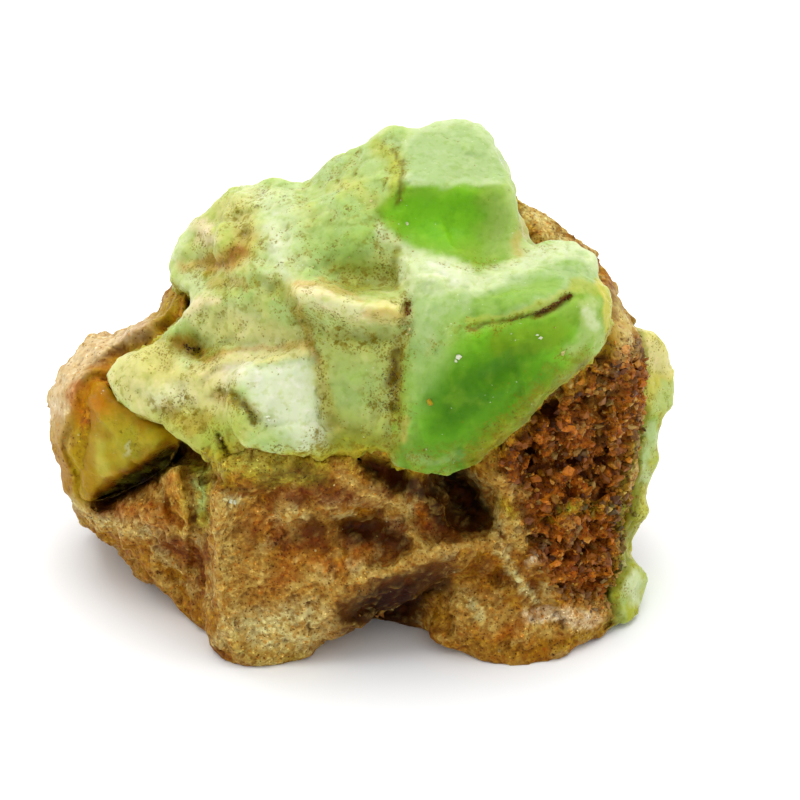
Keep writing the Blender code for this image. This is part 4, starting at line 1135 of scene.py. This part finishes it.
# The paints of the rock, laid on in turn like those of the green mass
ROCK_BROWNS = [
    # The left rim and the rock below it
    ("bone", 0.9, 2.8, [(-31.4, 21.0), (-30.4, 27.4), (-27.0, 31.0)]),
    ("pink cream", 0.65, 2.0, [(-30.4, 25.4), (-28.8, 29.8), (-25.4, 32.4), (-20.6, 33.8)]),
    ("pink cream", 0.4, 1.3, [(-30.4, 25.0), (-29.4, 22.4)]),
    ("rust", 0.3, 1.0, [(-27.6, 28.4), (-26.6, 29.6), (-23.0, 31.6)]),
    ("orange", 0.5, 1.0, [(-27.0, 28.6), (-24.0, 30.8), (-20.6, 32.4)]),
    ("honey", 0.9, 1.8, [(-20.0, 33.8), (-18.4, 35.8)]),
    ("orange", 0.6, 0.8, [(-20.0, 33.0), (-18.4, 34.4)]),
    ("tan", 0.7, 1.6, [(-30.6, 20.6), (-29.6, 17.4)]),
    ("orange", 0.8, 1.5, [(-28.2, 27.6), (-28.0, 24.4)]),
    ("ochre", 0.6, 1.3, [(-28.4, 24.4), (-28.4, 20.4)]),
    ("honey", 0.8, 1.2, [(-28.2, 20.6), (-28.0, 17.4), (-26.6, 16.0)]),
    ("cream", 0.45, 1.5, [(-28.8, 15.8), (-26.4, 14.8), (-23.6, 14.2), (-20.4, 13.2)]),
    ("bone", 0.6, 1.2, [(-19.5, 13.0), (-15.8, 13.2)]),
    ("honey", 0.7, 1.3, [(-28.4, 13.6), (-25.4, 11.0)]),
    ("orange", 0.6, 2.0, [(-23.4, 15.6), (-19.8, 14.4)]),
    ("tan", 0.4, 1.4, [(-22.6, 15.0), (-20.4, 14.6)]),
    ("bone", 0.7, 1.1, [(-23.4, 16.4), (-20.8, 17.0), (-19.8, 18.2)]),
    ("ochre", 0.8, 2.6, [(-24.0, 11.0), (-19.4, 8.0), (-16.0, 4.0)]),
    ("bone", 0.5, 1.0, [(-20.6, 9.0), (-18.4, 6.4)]),
    ("rust", 0.8, 1.6, [(-19.6, 12.0), (-16.0, 10.6)]),
    ("honey", 0.95, PRISM, 0.4),
    ("bone", 0.65, PRISM, 0.4),
    ("lime", 0.8, GREEN_PRISM, 0.4),
    ("cool green", 0.6, 0.5, [(-16.0, 18.6), (-15.8, 15.6)]),
    ("orange", 0.6, 0.6, [(-18.9, 18.8), (-18.0, 14.0)]),
    # The buttress
    ("tan", 0.8, [(-14.6, 12.0), (-13.0, 3.0), (-6.0, 0.6), (-3.0, 3.0), (-3.0, 10.0)], 2.0),
    ("lime", 0.6, [(-14.4, 21.0), (-2.0, 21.6), (-4.4, 18.4), (-9.0, 17.4), (-13.8, 17.8)], 1.0),
    ("ochre", 0.6, 1.4, [(-12.4, 19.0), (-10.0, 18.0)]),
    ("umber", 0.6, 1.0, [(-12.0, 17.8), (-9.6, 17.2)]),
    ("moss", 0.6, 1.3, [(-8.0, 19.4), (-5.0, 18.4), (-3.4, 17.6)]),
    ("bone", 0.85, 1.5, [(-14.4, 16.4), (-13.4, 14.0), (-13.6, 9.0), (-12.6, 4.0)]),
    ("cream", 0.7, 0.7, [(-13.8, 16.6), (-12.0, 16.0)]),
    ("cream", 0.7, [(-13.6, 4.4), (-12.4, 0.4), (-9.0, -0.4), (-4.4, 2.0), (-2.8, 5.0), (-5.0, 6.4),
        (-10.0, 5.4)], 1.2),
    ("cream", 0.8, [(-10.6, 3.8), (-9.6, 1.8), (-7.0, 2.0), (-7.2, 3.8)], 0.9),
    ("bone", 0.6, 1.2, [(-7.6, 7.6), (-5.4, 7.4), (-4.6, 9.4)]),
    ("honey", 0.5, 1.2, [(-12.6, 2.0), (-10.6, 0.6), (-6.0, 0.6)]),
    ("orange", 0.4, 2.0, [(-10.4, 14.4), (-8.8, 13.4)]),
    ("orange", 0.35, 1.4, [(-9.4, 7.4), (-8.0, 8.0), (-6.6, 11.0)]),
    ("rust", 0.8, 2.4, [(-7.6, 12.6), (-4.6, 12.6), (0.0, 12.6), (3.0, 13.0)]),
    ("orange", 0.4, 1.2, [(-4.4, 10.2), (-1.4, 10.0), (1.0, 11.4)]),
    ("umber", 0.85, 1.8, [(-4.4, 14.0), (-1.4, 13.2), (1.6, 14.0)]),
    ("dark rust", 0.9, 1.7, [(-0.6, 13.4), (1.6, 12.8)]),
    ("dark rust", 0.9, 1.2, [(2.8, 12.8), (4.2, 11.8)]),
    ("rust", 0.85, 1.8, [(-8.0, 16.6), (-3.0, 17.0), (2.0, 16.6)]),
    ("umber", 0.7, 1.0, [(-8.4, 20.0), (-5.6, 19.6)]),
    ("bone", 0.5, 0.9, [(-8.0, 16.0), (-7.0, 14.4), (-6.4, 12.4)]),
    ("tan", 0.5, 0.9, [(-5.0, 16.0), (-3.4, 14.0), (-2.4, 11.0)]),
    ("bone", 0.8, 0.9, [(-2.0, 18.6), (0.4, 16.8), (3.6, 15.8), (5.0, 14.0), (5.6, 12.2)]),
    ("bone", 0.8, 1.1, [(-2.8, 7.0), (-0.8, 8.2), (1.7, 9.3), (5.8, 10.8), (8.4, 11.8), (13.3, 12.3)]),
    ("bone", 0.7, 1.0, [(5.6, 12.6), (8.4, 12.2)]),
    # The recess under the ledge: the umber, dark rust and soot laid in it are painted shade
    ("umber", 0.9, [(-2.2, 6.6), (1.7, 8.2), (5.8, 9.7), (8.6, 10.6), (9.4, 9.4), (7.8, 7.0), (6.4, 4.6),
        (5.4, 2.6), (-2.4, 2.6), (-2.8, 5.4)], 0.6),
    ("dark rust", 0.9, [(0.4, 7.0), (3.4, 8.2), (7.4, 9.4), (7.4, 6.4), (4.8, 4.0), (-1.0, 4.0)], 1.0),
    ("soot", 0.5, [(0.4, 7.0), (3.4, 8.2), (6.8, 8.8), (6.8, 6.4), (4.4, 4.4), (-1.0, 4.4)], 1.0),
    # The holes: the soot and the dark rust laid in them are painted shade
    ("soot", 0.97, 2.4, [(8.4, 19.4), (10.2, 17.4), (11.4, 15.2)]),
    ("soot", 0.95, 1.5, [(0.8, 20.0), (3.4, 18.8)]),
    ("dark rust", 0.95, 2.0, [(3.4, 18.2), (6.4, 17.4), (8.4, 14.4), (10.0, 13.6)]),
    ("orange", 0.7, 0.8, [(6.0, 15.6), (6.4, 13.4)]),
    ("rust", 0.7, 1.4, [(5.6, 13.6), (9.0, 12.6)]),
    # The foot on the right
    ("ochre", 0.7, [(6.0, 7.4), (8.0, 2.0), (14.0, -0.4), (22.0, 1.0), (27.0, 4.6), (20.0, 7.0)], 1.6),
    ("tan", 0.3, [(8.4, 7.4), (9.0, 3.4), (13.0, 2.4), (17.0, 2.6), (15.0, 6.4), (11.0, 8.4)], 1.4),
    ("bone", 0.8, 2.0, [(9.6, 6.4), (12.6, 4.2)]),
    ("cream", 0.9, 1.1, [(11.0, 5.8), (12.0, 4.8)]),
    ("tan", 0.6, 1.3, [(8.4, 3.4), (11.0, 1.4), (15.0, 0.4)]),
    ("umber", 0.4, 1.6, [(8.0, 9.6), (12.0, 9.8)]),
    ("orange", 0.5, 1.2, [(13.6, 2.6), (16.0, 3.6)]),
    ("ochre", 0.6, 1.3, [(15.0, 0.6), (19.0, 1.4)]),
    ("bone", 0.7, 2.0, [(17.0, 3.8), (20.4, 4.2), (25.6, 5.0)]),
    # A painted highlight: the pink cream stroke stands for the light caught along the crest of the foot
    ("pink cream", 0.8, 1.1, [(16.6, 4.6), (19.0, 4.9), (23.4, 4.4)]),
    ("honey", 0.35, 1.0, [(20.0, 1.8), (25.0, 3.6)]),
    ("cream", 0.8, 0.8, [(15.2, 9.2), (16.2, 7.6), (17.4, 6.4)]),
    ("bone", 0.9, 1.6, [(13.6, 18.0), (14.8, 14.6), (15.8, 12.4)]),
    ("honey", 0.9, 0.9, [(14.4, 16.2), (15.0, 15.0)]),
    ("pink cream", 0.85, 0.6, [(16.8, 10.2), (18.4, 11.0)]),
    ("moss", 0.9, 1.1, [(19.0, 14.6), (22.0, 15.6), (25.8, 15.2)]),
    ("lime", 0.5, 0.6, [(20.0, 15.2), (22.0, 15.9)]),
    # Between the crumbly part and the vein, and beside the lobe
    ("moss", 0.7, 1.0, [(27.4, 22.0), (26.4, 18.0), (26.0, 14.0), (25.6, 8.0), (25.2, 6.0)]),
    ("cream", 0.6, 1.6, [(24.8, 36.4), (26.2, 33.6), (26.4, 30.4)]),
    ("bone", 0.6, 1.3, [(24.6, 36.0), (26.0, 33.6), (26.0, 30.4)]),
    ("rust", 0.7, 1.0, [(24.8, 38.0), (25.0, 34.6), (23.4, 31.6)]),
    ("bone", 0.5, 1.4, [(24.4, 29.0), (24.0, 27.0)]),
    ("honey", 0.7, 2.4, [(15.6, 46.4), (17.6, 44.6), (19.6, 42.6)]),
    ("cream", 0.75, 1.4, [(16.6, 45.4), (18.6, 43.4), (20.2, 41.6)]),
    ("rust", 0.6, 0.6, [(16.0, 42.4), (17.4, 41.2)]),
    ("tan", 0.4, 3.0, [(22.8, 28.4), (25.8, 25.0)]),
    ("orange", 0.35, 2.6, [(19.6, 10.6), (23.0, 9.0)]),
    ("dark rust", 0.4, 2.8, [(16.8, 20.6), (21.0, 19.0), (24.0, 18.0)]),
    # The soot in the rusty pit and the cavity beside it is painted shade
    ("soot", 0.6, 1.3, RUSTY_PIT),
    ("soot", 0.5, 1.1, [(20.6, 20.8), (23.4, 18.8)]),
]
# Where the rim flows on into the nodule, and under the foot of the vein, over the glaze
RIM_BROWNS = [
    ("rust", 0.8, 1.9, [(-25.8, 15.8), (-24.2, 16.8), (-21.6, 18.4)]),
    # The soot along the crevice under the nodule is painted shade
    ("soot", 0.97, 1.3, CREVICE),
    ("lime", 0.3, 1.8, [(-14.4, 19.8), (-10.0, 19.0), (-5.4, 19.2)]),
    ("straw", 0.4, 1.2, [(-14.4, 20.6), (-10.0, 20.2), (-7.0, 20.4)]),
    ("umber", 0.6, 1.0, [(-9.6, 18.6), (-6.4, 19.2), (-4.0, 18.4)]),
    # This dark rust in the recess under the ledge is painted shade
    ("dark rust", 0.7, 1.3, [(3.0, 6.2), (5.9, 7.3), (8.2, 8.0)]),
    ("orange", 0.4, 0.7, [(-13.0, 18.6), (-11.0, 18.0)]),
    ("rust", 0.5, 1.1, [(-26.6, 16.2), (-25.0, 15.4)]),
    ("mint", 0.6, 0.8, [(-16.1, 18.8), (-15.9, 15.4)]),
    ("honey", 0.5, 0.8, [(-18.2, 19.0), (-17.4, 14.6)]),
    ("honey", 0.7, 1.4, [(-19.0, 34.6), (-17.8, 36.2)]),
    ("orange", 0.5, 0.6, [(-18.8, 34.2), (-17.6, 35.2)]),
    ("honey", 1.0, 2.0, [(-26.4, 25.4), (-27.0, 23.0), (-27.4, 20.0), (-26.6, 17.6)]),
    ("orange", 0.6, 1.6, [(-25.0, 28.4), (-26.8, 27.4), (-27.8, 24.8)]),
    ("bone", 0.5, 0.8, [(-17.3, 18.8), (-17.0, 15.6)]),
    ("bone", 0.35, 2.4, [(-12.0, 11.6), (-10.4, 8.6)]),
    ("tan", 0.5, 1.0, [(-30.2, 24.4), (-30.4, 21.4), (-29.6, 17.4)]),
    ("cream", 0.8, 1.0, [(25.4, 6.0), (27.0, 5.4)]),
    ("mint", 0.5, 0.8, [(26.4, 7.4), (26.4, 6.0)]),
]


def paint_rock(mesh, green, vein, nodule):
    """Lays on the browns of the rock and keeps where it is gritty."""
    coat = Coat(mesh, "tan")
    spots = coat.spots
    crumbly = crumbly_share(spots)
    coat.veil("bone", 0.7, cloudy(spots, 3.6, 4, 2.0), 0.0, 0.45)
    coat.veil("ochre", 0.7, cloudy(spots, 4.0, 3, 5.0), -0.1, 0.4)
    coat.veil("rust", 0.6, cloudy(spots, 2.6, 4, 9.0), 0.15, 0.5)
    lump = lumps(spots, 1.7, 5.0)
    coat.veil("cream", 0.5, lump, 0.2, 0.6)
    coat.veil("ochre", 0.5, -lump, 0.1, 0.4)
    coat.veil("rust", 0.6, -lump, 0.4, 0.8)
    # Where it is crumbly
    coat.lay("rust", 0.9 * crumbly)
    coat.veil("orange", 0.7, cloudy(spots, 2.0, 3, 4.0), 0.0, 0.4, crumbly)
    coat.veil("umber", 0.7, cloudy(spots, 2.3, 3, 7.0), 0.05, 0.4, crumbly)
    coat.veil("bone", 0.5, cloudy(spots, 1.7, 3, 11.0), 0.25, 0.55, crumbly)
    coat.paint(ROCK_BROWNS)
    # Painted shade and highlights: umber and dark rust in the hollows are partly rust and partly painted
    # shade, soot in the crumbly cavities is painted shade, and bone and orange on the edges are painted
    # highlights
    hollow = hollowness(mesh, 8) * (1 - 0.8 * smooth_share(mesh))
    fine = hollowness(mesh, 2)
    coat.veil("umber", 0.8, hollow, 0.08, 0.4)
    coat.veil("dark rust", 0.85, hollow, 0.3, 0.7)
    coat.lay("soot", 0.9 * cavities(spots, crumbly) * smooth_step(hollow, -0.2, 0.3))
    coat.veil("rust", 0.4, fine, 0.01, 0.06)
    coat.lay("bone", 0.35 * smooth_step(-fine, 0.015, 0.07) * (1 - 0.7 * crumbly))
    coat.lay("orange", 0.6 * smooth_step(-fine, 0.015, 0.07) * crumbly)
    # The glaze where it holds the others
    for other, paint in ((green, "honey"), (nodule, "honey"), (vein, "moss")):
        touching = nearness(mesh, other, 2.0, ragged=0.4)
        coat.lay(paint, 0.6 * smooth_step(touching, 0.2, 0.8) * (1 - 0.8 * smooth_step(hollow, 0.05, 0.3)))
    coat.paint(RIM_BROWNS)
    coat.keep()
    grit = (0.6 + 0.4 * crumbly) * (1 - 0.5 * smooth_share(mesh))
    keep_number(mesh, "grit", grit * (0.3 + 0.7 * smooth_step(coat.colours.mean(axis=1), 0.02, 0.1)))
    return coat.colours


# The vein and the nodule

def vein_mesh():
    """The green vein down the right flank."""
    mesh = skin_of(["side_vein"], SMALL_CELL, 4)
    spots = spots_of(mesh)
    heights = 0.25 * facets(spots, 3.0, 2.0) + 0.22 * cloudy(spots, 2.4, 2, 2.0)
    raise_by(mesh, heights + 0.08 * cloudy(spots, 0.9, 3, 4.0))
    return worked(mesh, (soften, 1))


# Strokes of paint down the vein
VEIN_GREENS = [
    ("cream", 0.9, 2.0, [(28.0, 32.4), (30.4, 30.0)]),
    ("orange", 0.3, 0.6, [(27.0, 32.6), (28.4, 31.8)]),
    ("mint", 0.8, 1.3, [(30.8, 27.6), (30.0, 25.8)]),
    ("moss", 0.8, 1.0, [(28.0, 25.0), (27.2, 15.0), (26.0, 8.0)]),
    ("cool green", 0.9, 0.9, [(29.2, 24.0), (28.4, 20.0)]),
    ("pale mint", 0.4, 0.9, [(29.0, 23.4), (28.4, 18.4)]),
    ("straw", 0.7, 1.0, [(28.4, 17.0), (28.2, 14.0), (27.4, 11.0)]),
    ("pale mint", 0.9, 1.2, [(27.4, 8.6), (27.2, 6.4)]),
]


def paint_vein(mesh, rock):
    """Green at the edge of the vein, straw at its top, dirty where it meets the rock."""
    coat = Coat(mesh, "lime")
    spots = coat.spots
    coat.veil("mint", 0.8, cloudy(spots, 3.0, 3, 2.0), -0.2, 0.3)
    coat.veil("cool green", 0.5, cloudy(spots, 2.2, 3, 6.0), 0.0, 0.5)
    coat.veil("straw", 0.95, spots[:, 2] + 2.0 * cloudy(spots, 3.0, 2, 7.0), 20.0, 24.0)
    coat.paint(VEIN_GREENS)
    hollow = hollowness(mesh, 6)
    coat.veil("rust", 0.8, hollow, 0.08, 0.35)
    touching = nearness(mesh, rock, 1.6, ragged=0.4)
    coat.veil("moss", 0.7, touching, 0.2, 0.8)
    coat.veil("rust", 0.5, touching, 0.7, 1.1)
    coat.keep()
    keep_number(mesh, "dirt", 0.45 + 0.5 * cloudy(spots, 3.0, 3, 5.0) + hollow)
    return coat.colours


def nodule_mesh():
    """The yellow-green nodule in the left end."""
    mesh = skin_of(["amber_nodule"], SMALL_CELL, 5)
    pull(mesh, NODULE_PULLS)
    carve(mesh, NODULE_STROKES)
    spots = spots_of(mesh)
    heights = 0.35 * facets(spots, 5.0, 5.0) + 0.25 * cloudy(spots, 2.6, 2, 1.0)
    raise_by(mesh, heights + 0.08 * cloudy(spots, 0.9, 3, 3.0))
    return worked(mesh, (soften, 2))


# Fills and strokes of paint on the nodule
NODULE_BROWNS = [
    ("orange", 0.8, [(-28.6, 28.4), (-25.6, 28.4), (-24.4, 26.4), (-26.0, 24.0), (-28.6, 23.4)], 1.4),
    ("lime", 0.3, [(-26.0, 24.4), (-22.6, 24.8), (-20.0, 22.0), (-23.4, 18.6), (-26.0, 20.0)], 1.4),
    ("ochre", 0.5, 1.2, [(-25.0, 26.6), (-21.4, 24.0)]),
    ("straw", 0.5, 1.2, [(-26.8, 22.0), (-25.6, 18.6)]),
    ("moss", 0.5, 1.4, [(-23.6, 19.4), (-20.4, 21.4)]),
    ("honey", 0.8, 1.3, [(-27.6, 19.0), (-26.6, 17.0), (-24.6, 17.4)]),
    # A painted highlight: the milk stroke stands for the light caught on the nodule's face
    ("milk", 0.35, 0.4, [(-23.5, 21.8), (-23.4, 21.0)]),
]


def paint_nodule(mesh, rock):
    """Honey below, orange at the top, with a greener middle."""
    coat = Coat(mesh, "honey")
    spots = coat.spots
    coat.veil("moss", 0.4, cloudy(spots, 2.6, 3, 6.0), 0.0, 0.4)
    coat.paint(NODULE_BROWNS)
    touching = nearness(mesh, rock, 1.6, ragged=0.4)
    coat.veil("ochre", 0.6, touching, 0.1, 0.7)
    # Rust and soot along the crevice, the soot as painted shade
    from_crevice = distance_to_line(coat.places, CREVICE)
    coat.veil("rust", 0.9, from_crevice, 1.9, 0.9)
    coat.veil("soot", 0.95, from_crevice, 1.2, 0.5)
    coat.keep()
    keep_number(mesh, "dirt", 0.3 + 0.3 * cloudy(spots, 3.0, 3, 9.0))


# Loose crumbs

class Crumbs:
    """A heap of small, angular crumbs, each in its own colour."""

    BATCH = 400  # crumbs that are poured at a time
    CORNERS = 12  # of one crumb
    TURN = 6.28  # about all the way round
    RAGGED = 0.16  # how far a corner may stray, in sizes of the crumb

    def __init__(self, rng):
        self.rng = rng
        self.coats = []
        self.heap = bmesh.new()
        self.batch = bmesh.new()

    def add(self, spot, size, colour):
        """Drops a crumb of this size, in millimetres, at a spot."""
        rng = self.rng
        turn = Matrix.Rotation(rng.uniform(0, self.TURN), 4, Vector(rng.normal(size=3)))
        squash = Matrix.Diagonal((1.0, rng.uniform(0.5, 0.95), rng.uniform(0.4, 0.8), 1.0))
        place = Matrix.Translation(Vector(spot + ORIGIN_SHIFT) * MM)
        verts = bmesh.ops.create_icosphere(
            self.batch, subdivisions=1, radius=size * MM, matrix=place @ turn @ squash
        )["verts"]
        for vert in verts:
            vert.co += Vector(rng.normal(size=3)) * size * self.RAGGED * MM
        self.coats += [colour] * len(verts)
        if len(self.batch.verts) > self.BATCH * self.CORNERS:
            self.pour()

    def pour(self):
        """Puts the last batch on the heap."""
        mesh = bpy.data.meshes.new("batch")
        self.batch.to_mesh(mesh)
        self.heap.from_mesh(mesh)
        self.batch.clear()
        bpy.data.meshes.remove(mesh)

    def finished(self, name):
        """The heap as a mesh."""
        self.pour()
        mesh = bpy.data.meshes.new(name)
        self.heap.to_mesh(mesh)
        self.heap.free()
        self.batch.free()
        keep_colours(mesh, self.coats)
        return mesh


# How many crumbs there are, and their paints, where the rock is crumbly and elsewhere
CRUMBLY_COUNT = 6400
CRUMBLY_PAINTS = ["rust", "rust", "orange", "orange", "umber", "dark rust", "soot", "ochre", "bone", "tan"]
GRIT_COUNT = 900
GRIT_PAINTS = ["bone", "cream", "tan", "umber", "ochre"]
# The same for the seams, round the green mass and the vein
GREEN_SEAM_COUNT = 1500
VEIN_SEAM_COUNT = 450
SEAM_PAINTS = ["honey", "tan", "moss", "ochre", "cream", "umber", "lime"]
# The size of the finest ones, in millimetres, and how much coarser the coarsest are
FINEST_CRUMB = 0.11
CRUMBLY_COARSER = 0.6
GRIT_COARSER = 0.12
FINEST_SEAM_GRAIN = 0.13
SEAM_COARSER = 0.34
# How much darker or brighter than their paints the crumbs on the rock are
BRIGHTNESS = (0.6, 1.5)


def rock_crumbs(rock, colours, rng):
    """Crumbs that cling to the rock: many, and coarse, where it is crumbly, and fine grit elsewhere."""
    spots = spots_of(rock)
    outward = outward_of(rock)
    crumbly = crumbly_share(spots)
    deep = cavities(spots, crumbly)
    off_floor = smooth_step(spots[:, 2], 1.0, 2.0)
    crumbs = Crumbs(rng)
    for count, share, coarser, paints in (
        (CRUMBLY_COUNT, crumbly * (1 - 0.8 * deep) * off_floor, CRUMBLY_COARSER, CRUMBLY_PAINTS),
        (GRIT_COUNT, (1 - crumbly) * off_floor, GRIT_COARSER, GRIT_PAINTS),
    ):
        for index in rng.choice(len(spots), count, replace=False, p=share / share.sum()):
            size = FINEST_CRUMB + coarser * rng.random() ** 4
            own = (0.6 * linear(rng.choice(paints)) + 0.4 * colours[index]) * rng.uniform(*BRIGHTNESS)
            crumbs.add(spots[index] + outward[index] * size * rng.uniform(-0.5, 0.3), size, own)
    return crumbs.finished("rock_crumbs")


def seam_grains(grown, rock, rng):
    """Grains of glaze in the seams, where the grown pieces sit on the rock: (mesh, colours, count)."""
    crumbs = Crumbs(rng)
    for mesh, colours, count in grown:
        spots = spots_of(mesh)
        touching = nearness(mesh, rock, 1.3)
        share = smooth_step(touching, 0.25, 0.7) * smooth_step(spots[:, 2], 1.0, 2.0)
        share *= smooth_step(pictured(spots)[:, 0], -18.0, -14.0)
        for index in rng.choice(len(spots), count, replace=False, p=share / share.sum()):
            own = 0.5 * linear(rng.choice(SEAM_PAINTS)) + 0.5 * colours[index]
            size = FINEST_SEAM_GRAIN + SEAM_COARSER * rng.random() ** 2
            crumbs.add(spots[index], size, own)
    return crumbs.finished("seam_grains")


# Bright flakes on the green mass and the rock: (paint, size, place), with sizes in millimetres
FLAKES = [
    ("cream", 0.3, (4.9, 33.4)), ("cream", 0.24, (4.6, 32.9)), ("cream", 0.16, (4.2, 33.9)),
    ("milk", 0.34, (9.7, 30.6)), ("milk", 0.22, (9.5, 30.2)), ("milk", 0.28, (17.9, 32.5)),
    ("milk", 0.18, (17.6, 32.8)), ("milk", 0.34, (-9.3, 24.6)), ("milk", 0.22, (-9.2, 24.3)),
    ("honey", 0.42, (6.9, 26.1)), ("cream", 0.18, (1.0, 46.2)), ("pale mint", 0.2, (4.6, 43.9)),
    ("cream", 0.16, (5.2, 41.2)), ("cream", 0.2, (-14.0, 22.5)), ("cream", 0.16, (-8.8, 36.4)),
    ("cream", 0.15, (-4.8, 39.6)), ("cream", 0.15, (-1.2, 40.6)), ("cream", 0.5, (-13.6, 16.3)),
    ("milk", 0.36, (-13.0, 16.2)), ("milk", 0.3, (-12.6, 16.1)), ("honey", 0.36, (14.9, 15.4)),
    ("pink cream", 0.45, (17.2, 10.4)), ("pink cream", 0.4, (17.8, 10.8)), ("cream", 0.4, (15.8, 8.3)),
    ("cream", 0.4, (16.2, 7.5)), ("cream", 0.3, (20.2, 31.0)), ("tan", 0.5, (22.3, 28.0)),
]
# Dirt along the cracks: (paint, count, size, scatter, start, end)
CRACK_DIRT = [
    ("umber", 26, 0.06, 0.05, (15.2, 34.3), (17.6, 35.0)),
    ("rust", 60, 0.11, 0.1, (17.6, 35.0), (21.1, 36.8)),
    ("dark rust", 30, 0.09, 0.08, (18.0, 35.1), (20.8, 36.6)),
    ("olive", 40, 0.05, 0.06, (10.9, 33.2), (15.4, 34.3)),
    ("rust", 34, 0.11, 0.2, (4.6, 36.2), (4.7, 34.8)),
    ("speck", 60, 0.08, 0.5, (4.2, 33.4), (3.3, 29.4)),
    ("umber", 80, 0.08, 0.45, (3.4, 30.0), (3.4, 25.0)),
    ("speck", 80, 0.1, 0.55, (3.4, 29.6), (3.2, 23.0)),
    ("dark rust", 26, 0.12, 0.22, (-17.4, 31.8), (-16.4, 31.0)),
    ("olive", 30, 0.1, 0.24, (-14.0, 22.4), (-13.4, 21.0)),
    ("olive", 40, 0.08, 0.3, (-12.6, 26.4), (-10.8, 24.6)),
]


def flakes_and_dirt(green, rock, rng):
    """Bright flakes on the specimen, and dark dirt along the cracks of its green mass."""
    trees = [faces_of(green), faces_of(rock)]
    crumbs = Crumbs(rng)

    def drop(paint, size, place):
        sight = RIGHTWARDS * place[0] + UPWARDS * place[1] - EYE
        found = [tree.ray_cast(Vector(EYE), Vector(sight)) for tree in trees]
        found = [(distance, spot) for spot, _, _, distance in found if spot is not None]
        if found:
            crumbs.add(np.array(min(found)[1]), size, linear(paint))

    for paint, size, place in FLAKES:
        drop(paint, size, place)
    for paint, count, size, scatter, start, end in CRACK_DIRT:
        for step in np.linspace(0, 1, count):
            place = np.array(start) * (1 - step) + np.array(end) * step
            drop(paint, size * rng.uniform(0.6, 1.3), place + rng.normal(scale=scatter, size=2))
    return crumbs.finished("flakes")


# Assembly

def build_specimen():
    """Every piece of the specimen, shown in place of the part's plain one."""
    rng = np.random.default_rng(DICE)
    waxy = waxy_material()
    green, vein, nodule = green_mesh(), vein_mesh(), nodule_mesh()
    rock = rock_mesh([green, vein])
    roughen_edge(green, rock)
    greens = paint_green(green, rock)
    straws = paint_vein(vein, rock)
    paint_nodule(nodule, rock)
    browns = paint_rock(rock, green, vein, nodule)
    grains = grain_material()
    grown = [(green, greens, GREEN_SEAM_COUNT), (vein, straws, VEIN_SEAM_COUNT)]
    heaps = [
        (rock_crumbs(rock, browns, rng), "rusty_rock"),
        (seam_grains(grown, rock, rng), "rusty_rock"),
        (flakes_and_dirt(green, rock, rng), "waxy_green"),
    ]
    shown("green_mass_skin", green, waxy, "green_mass")
    shown("side_vein_skin", vein, waxy, "side_vein")
    shown("nodule_skin", nodule, waxy, "amber_nodule")
    shown("rock_skin", rock, rock_material(), "matrix")
    for heap, slot in heaps:
        shown(heap.name, heap, grains, None, smooth=False)


# Setting, in metres and watts

FLOOR_SIZE = 6
FLOOR_COLOUR = (0.91, 0.925, 0.94, 1)
LAMP_POWER = 6.5
LAMP_SIZE = 0.9
LAMP_PLACE = (-0.02, 0.14, 0.8)
LAMP_TARGET = (0, 0, 0.02)
TENT_LIGHT = 0.965  # how bright the white all round is
SENSOR_WIDTH = 36  # of the camera, in millimetres
CLOSEST, FURTHEST = 0.01, 10  # what the camera sees


def plain_floor():
    """A wide white floor."""
    bpy.ops.mesh.primitive_plane_add(size=FLOOR_SIZE)
    floor = bpy.context.object
    floor.name = "floor"
    material, _, shader = new_material("white_floor", 0.9)
    shader.inputs["Base Color"].default_value = FLOOR_COLOUR
    floor.data.materials.append(material)


def aimed(name, data, place, direction):
    """A lamp or camera at this place that looks this way."""
    made = placed(name, data)
    made.location = place
    made.rotation_euler = direction.to_track_quat("-Z", "Y").to_euler()
    return made


def studio():
    """Soft white light from all round, with a brighter lamp overhead."""
    world = bpy.data.worlds.new("white_tent")
    world.use_nodes = True
    light = world.node_tree.nodes["Background"].inputs
    light["Color"].default_value = (1, 1, 1, 1)
    light["Strength"].default_value = TENT_LIGHT
    bpy.context.scene.world = world
    lamp = bpy.data.lights.new("overhead", "AREA")
    lamp.energy = LAMP_POWER
    lamp.size = LAMP_SIZE
    aimed("overhead", lamp, LAMP_PLACE, Vector(LAMP_TARGET) - Vector(LAMP_PLACE))
    bpy.context.scene.view_settings.view_transform = "Standard"


def photo_camera():
    """The camera, where the photograph was taken from."""
    data = bpy.data.cameras.new("photo")
    data.sensor_width = SENSOR_WIDTH
    data.lens = SENSOR_WIDTH * VIEW_DISTANCE / VIEW_WIDTH
    data.clip_start, data.clip_end = CLOSEST, FURTHEST
    bpy.context.scene.camera = aimed("photo", data, Vector((EYE + ORIGIN_SHIFT) * MM), Vector(AWAY))


build_specimen()
plain_floor()
studio()
photo_camera()
